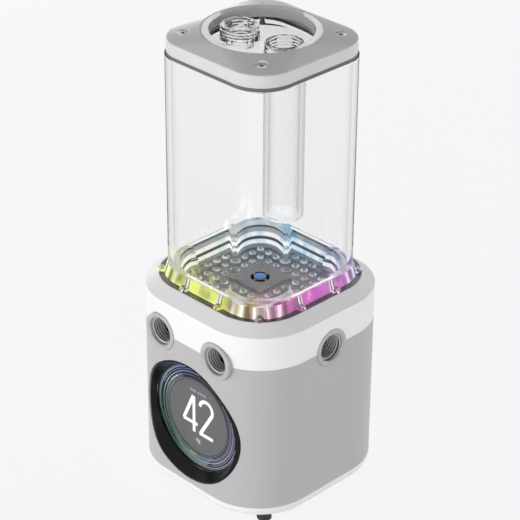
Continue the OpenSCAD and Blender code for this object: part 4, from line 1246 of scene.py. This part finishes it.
class SetStage(bpy.types.Operator):
    """Makes the floor, the lamps, the backdrop and the camera"""

    bl_idname = "coolant.set_stage"
    bl_label = "Set the stage"

    def execute(self, context):
        look = context.scene.coolant_stage
        self.make_camera(context, look)
        self.make_floor()
        self.make_world(context)
        self.make_lamps()
        context.scene.view_settings.view_transform = "Standard"
        return {"FINISHED"}

    def make_camera(self, context, look):
        """Camera at the viewing angle, aimed near the object's middle."""
        azimuth, elevation = math.radians(look.azimuth), math.radians(look.elevation)
        back = Vector((
            math.sin(azimuth) * math.cos(elevation),
            -math.cos(azimuth) * math.cos(elevation),
            math.sin(elevation),
        ))
        aim = Vector((AIM_X, AIM_Y, AIM_SHARE * cad_high.z))
        data = bpy.data.cameras.new("studio_camera")
        data.lens = look.lens
        data.clip_start, data.clip_end = 0.01, 20
        camera = bpy.data.objects.new("studio_camera", data)
        camera.location = aim + back * look.distance
        turn = (-back).to_track_quat("-Z", "Y").to_matrix().to_4x4()
        camera.matrix_world = (
            Matrix.Translation(camera.location) @ turn @ Matrix.Rotation(math.radians(look.roll), 4, "Z")
        )
        context.scene.collection.objects.link(camera)
        context.scene.camera = camera

    def make_floor(self):
        """Plain pale floor that shows white and keeps a soft shadow."""
        bm = bmesh.new()
        bmesh.ops.create_grid(bm, x_segments=8, y_segments=8, size=4)
        mesh = bpy.data.meshes.new("studio_floor")
        bm.to_mesh(mesh)
        bm.free()
        floor = bpy.data.objects.new("studio_floor", mesh)
        bpy.context.scene.collection.objects.link(floor)
        material, tree, shader = new_material("studio_floor")
        shader.inputs["Base Color"].default_value = (0.9, 0.9, 0.9, 1)
        shader.inputs["Roughness"].default_value = 0.6
        output = next(n for n in tree.nodes if n.type == "OUTPUT_MATERIAL")
        glow = tree.nodes.new("ShaderNodeEmission")
        glow.inputs["Color"].default_value = (1, 1, 1, 1)
        glow.inputs["Strength"].default_value = 1.0
        seen = shows_backdrop(tree)
        blend = tree.nodes.new("ShaderNodeMixShader")
        tree.links.new(maths(tree, "MULTIPLY", seen, FLOOR_WHITE), blend.inputs[0])
        tree.links.new(shader.outputs[0], blend.inputs[1])
        tree.links.new(glow.outputs[0], blend.inputs[2])
        tree.links.new(blend.outputs[0], output.inputs["Surface"])
        mesh.materials.append(material)

    def make_world(self, context):
        """White backdrop; softer light from above than from the sides."""
        world = bpy.data.worlds.new("studio")
        context.scene.world = world
        world.use_nodes = True
        tree = world.node_tree
        tree.nodes.clear()
        coords = tree.nodes.new("ShaderNodeTexCoord")
        split = tree.nodes.new("ShaderNodeSeparateXYZ")
        tree.links.new(coords.outputs["Generated"], split.inputs[0])
        light = ramp(tree, split.outputs["Z"], (
            (0.0, (0.70, 0.70, 0.71)), (0.3, (0.52, 0.52, 0.53)), (0.6, (0.26, 0.26, 0.27)),
            (1.0, (0.12, 0.12, 0.125)),
        ))
        seen = shows_backdrop(tree)
        shade = mix_colour(tree, seen, light, (1, 1, 1, 1))
        background = tree.nodes.new("ShaderNodeBackground")
        tree.links.new(shade, background.inputs["Color"])
        output = tree.nodes.new("ShaderNodeOutputWorld")
        tree.links.new(background.outputs[0], output.inputs["Surface"])

    def make_lamps(self):
        """Wide soft lamps: key on the display side, front and fill on the port side, two behind."""
        middle = Vector((0, 0, 0.1))
        lamps = {
            "key": ((-0.60, -1.35, 0.2), 1.2, 12.5),
            "front": ((1.00, -1.05, 0.2), 0.9, 5.0),
            "fill": ((1.45, 0.0, 0.2), 1.2, 3.6),
            "back_left": ((-1.4, 0.5, 0.25), 1.2, 6.0),
            "back_right": ((0.4, 1.4, 0.25), 1.2, 6.0),
        }
        for name, (place, size, power) in lamps.items():
            data = bpy.data.lights.new(f"lamp_{name}", "AREA")
            data.shape = "RECTANGLE"
            data.size = size
            data.size_y = 0.4 * size
            data.energy = power
            lamp = bpy.data.objects.new(f"lamp_{name}", data)
            lamp.location = place
            lamp.rotation_euler = (middle - Vector(place)).to_track_quat("-Z", "Y").to_euler()
            bpy.context.scene.collection.objects.link(lamp)


STEPS = (FinishShells, FinishReservoir, FinishPump, CutThreads, DrawDisplay, LightGuide, SetStage)


class CoolantPanel(bpy.types.Panel):
    """Lists the steps that dress the coolant pump reservoir"""

    bl_idname = "VIEW3D_PT_coolant"
    bl_label = "Coolant Pump Reservoir"
    bl_space_type = "VIEW_3D"
    bl_region_type = "UI"
    bl_category = "Coolant"

    def draw(self, context):
        for step in STEPS:
            self.layout.operator(step.bl_idname)
        for name, group in SETTINGS.items():
            box = self.layout.box()
            for label in group.__annotations__:
                box.prop(getattr(context.scene, name), label)


CLASSES = (*SETTINGS.values(), *STEPS, CoolantPanel)


def register():
    """Registers the classes and hangs the settings on the scene."""
    for cls in CLASSES:
        bpy.utils.register_class(cls)
    for name, group in SETTINGS.items():
        setattr(bpy.types.Scene, name, bpy.props.PointerProperty(type=group))


def unregister():
    """Takes the settings and classes away again."""
    for name in SETTINGS:
        delattr(bpy.types.Scene, name)
    for cls in reversed(CLASSES):
        bpy.utils.unregister_class(cls)


def main():
    """Runs every step in order."""
    register()
    for step in STEPS:
        group, name = step.bl_idname.split(".")
        getattr(getattr(bpy.ops, group), name)()


if __name__ == "__main__":
    main()
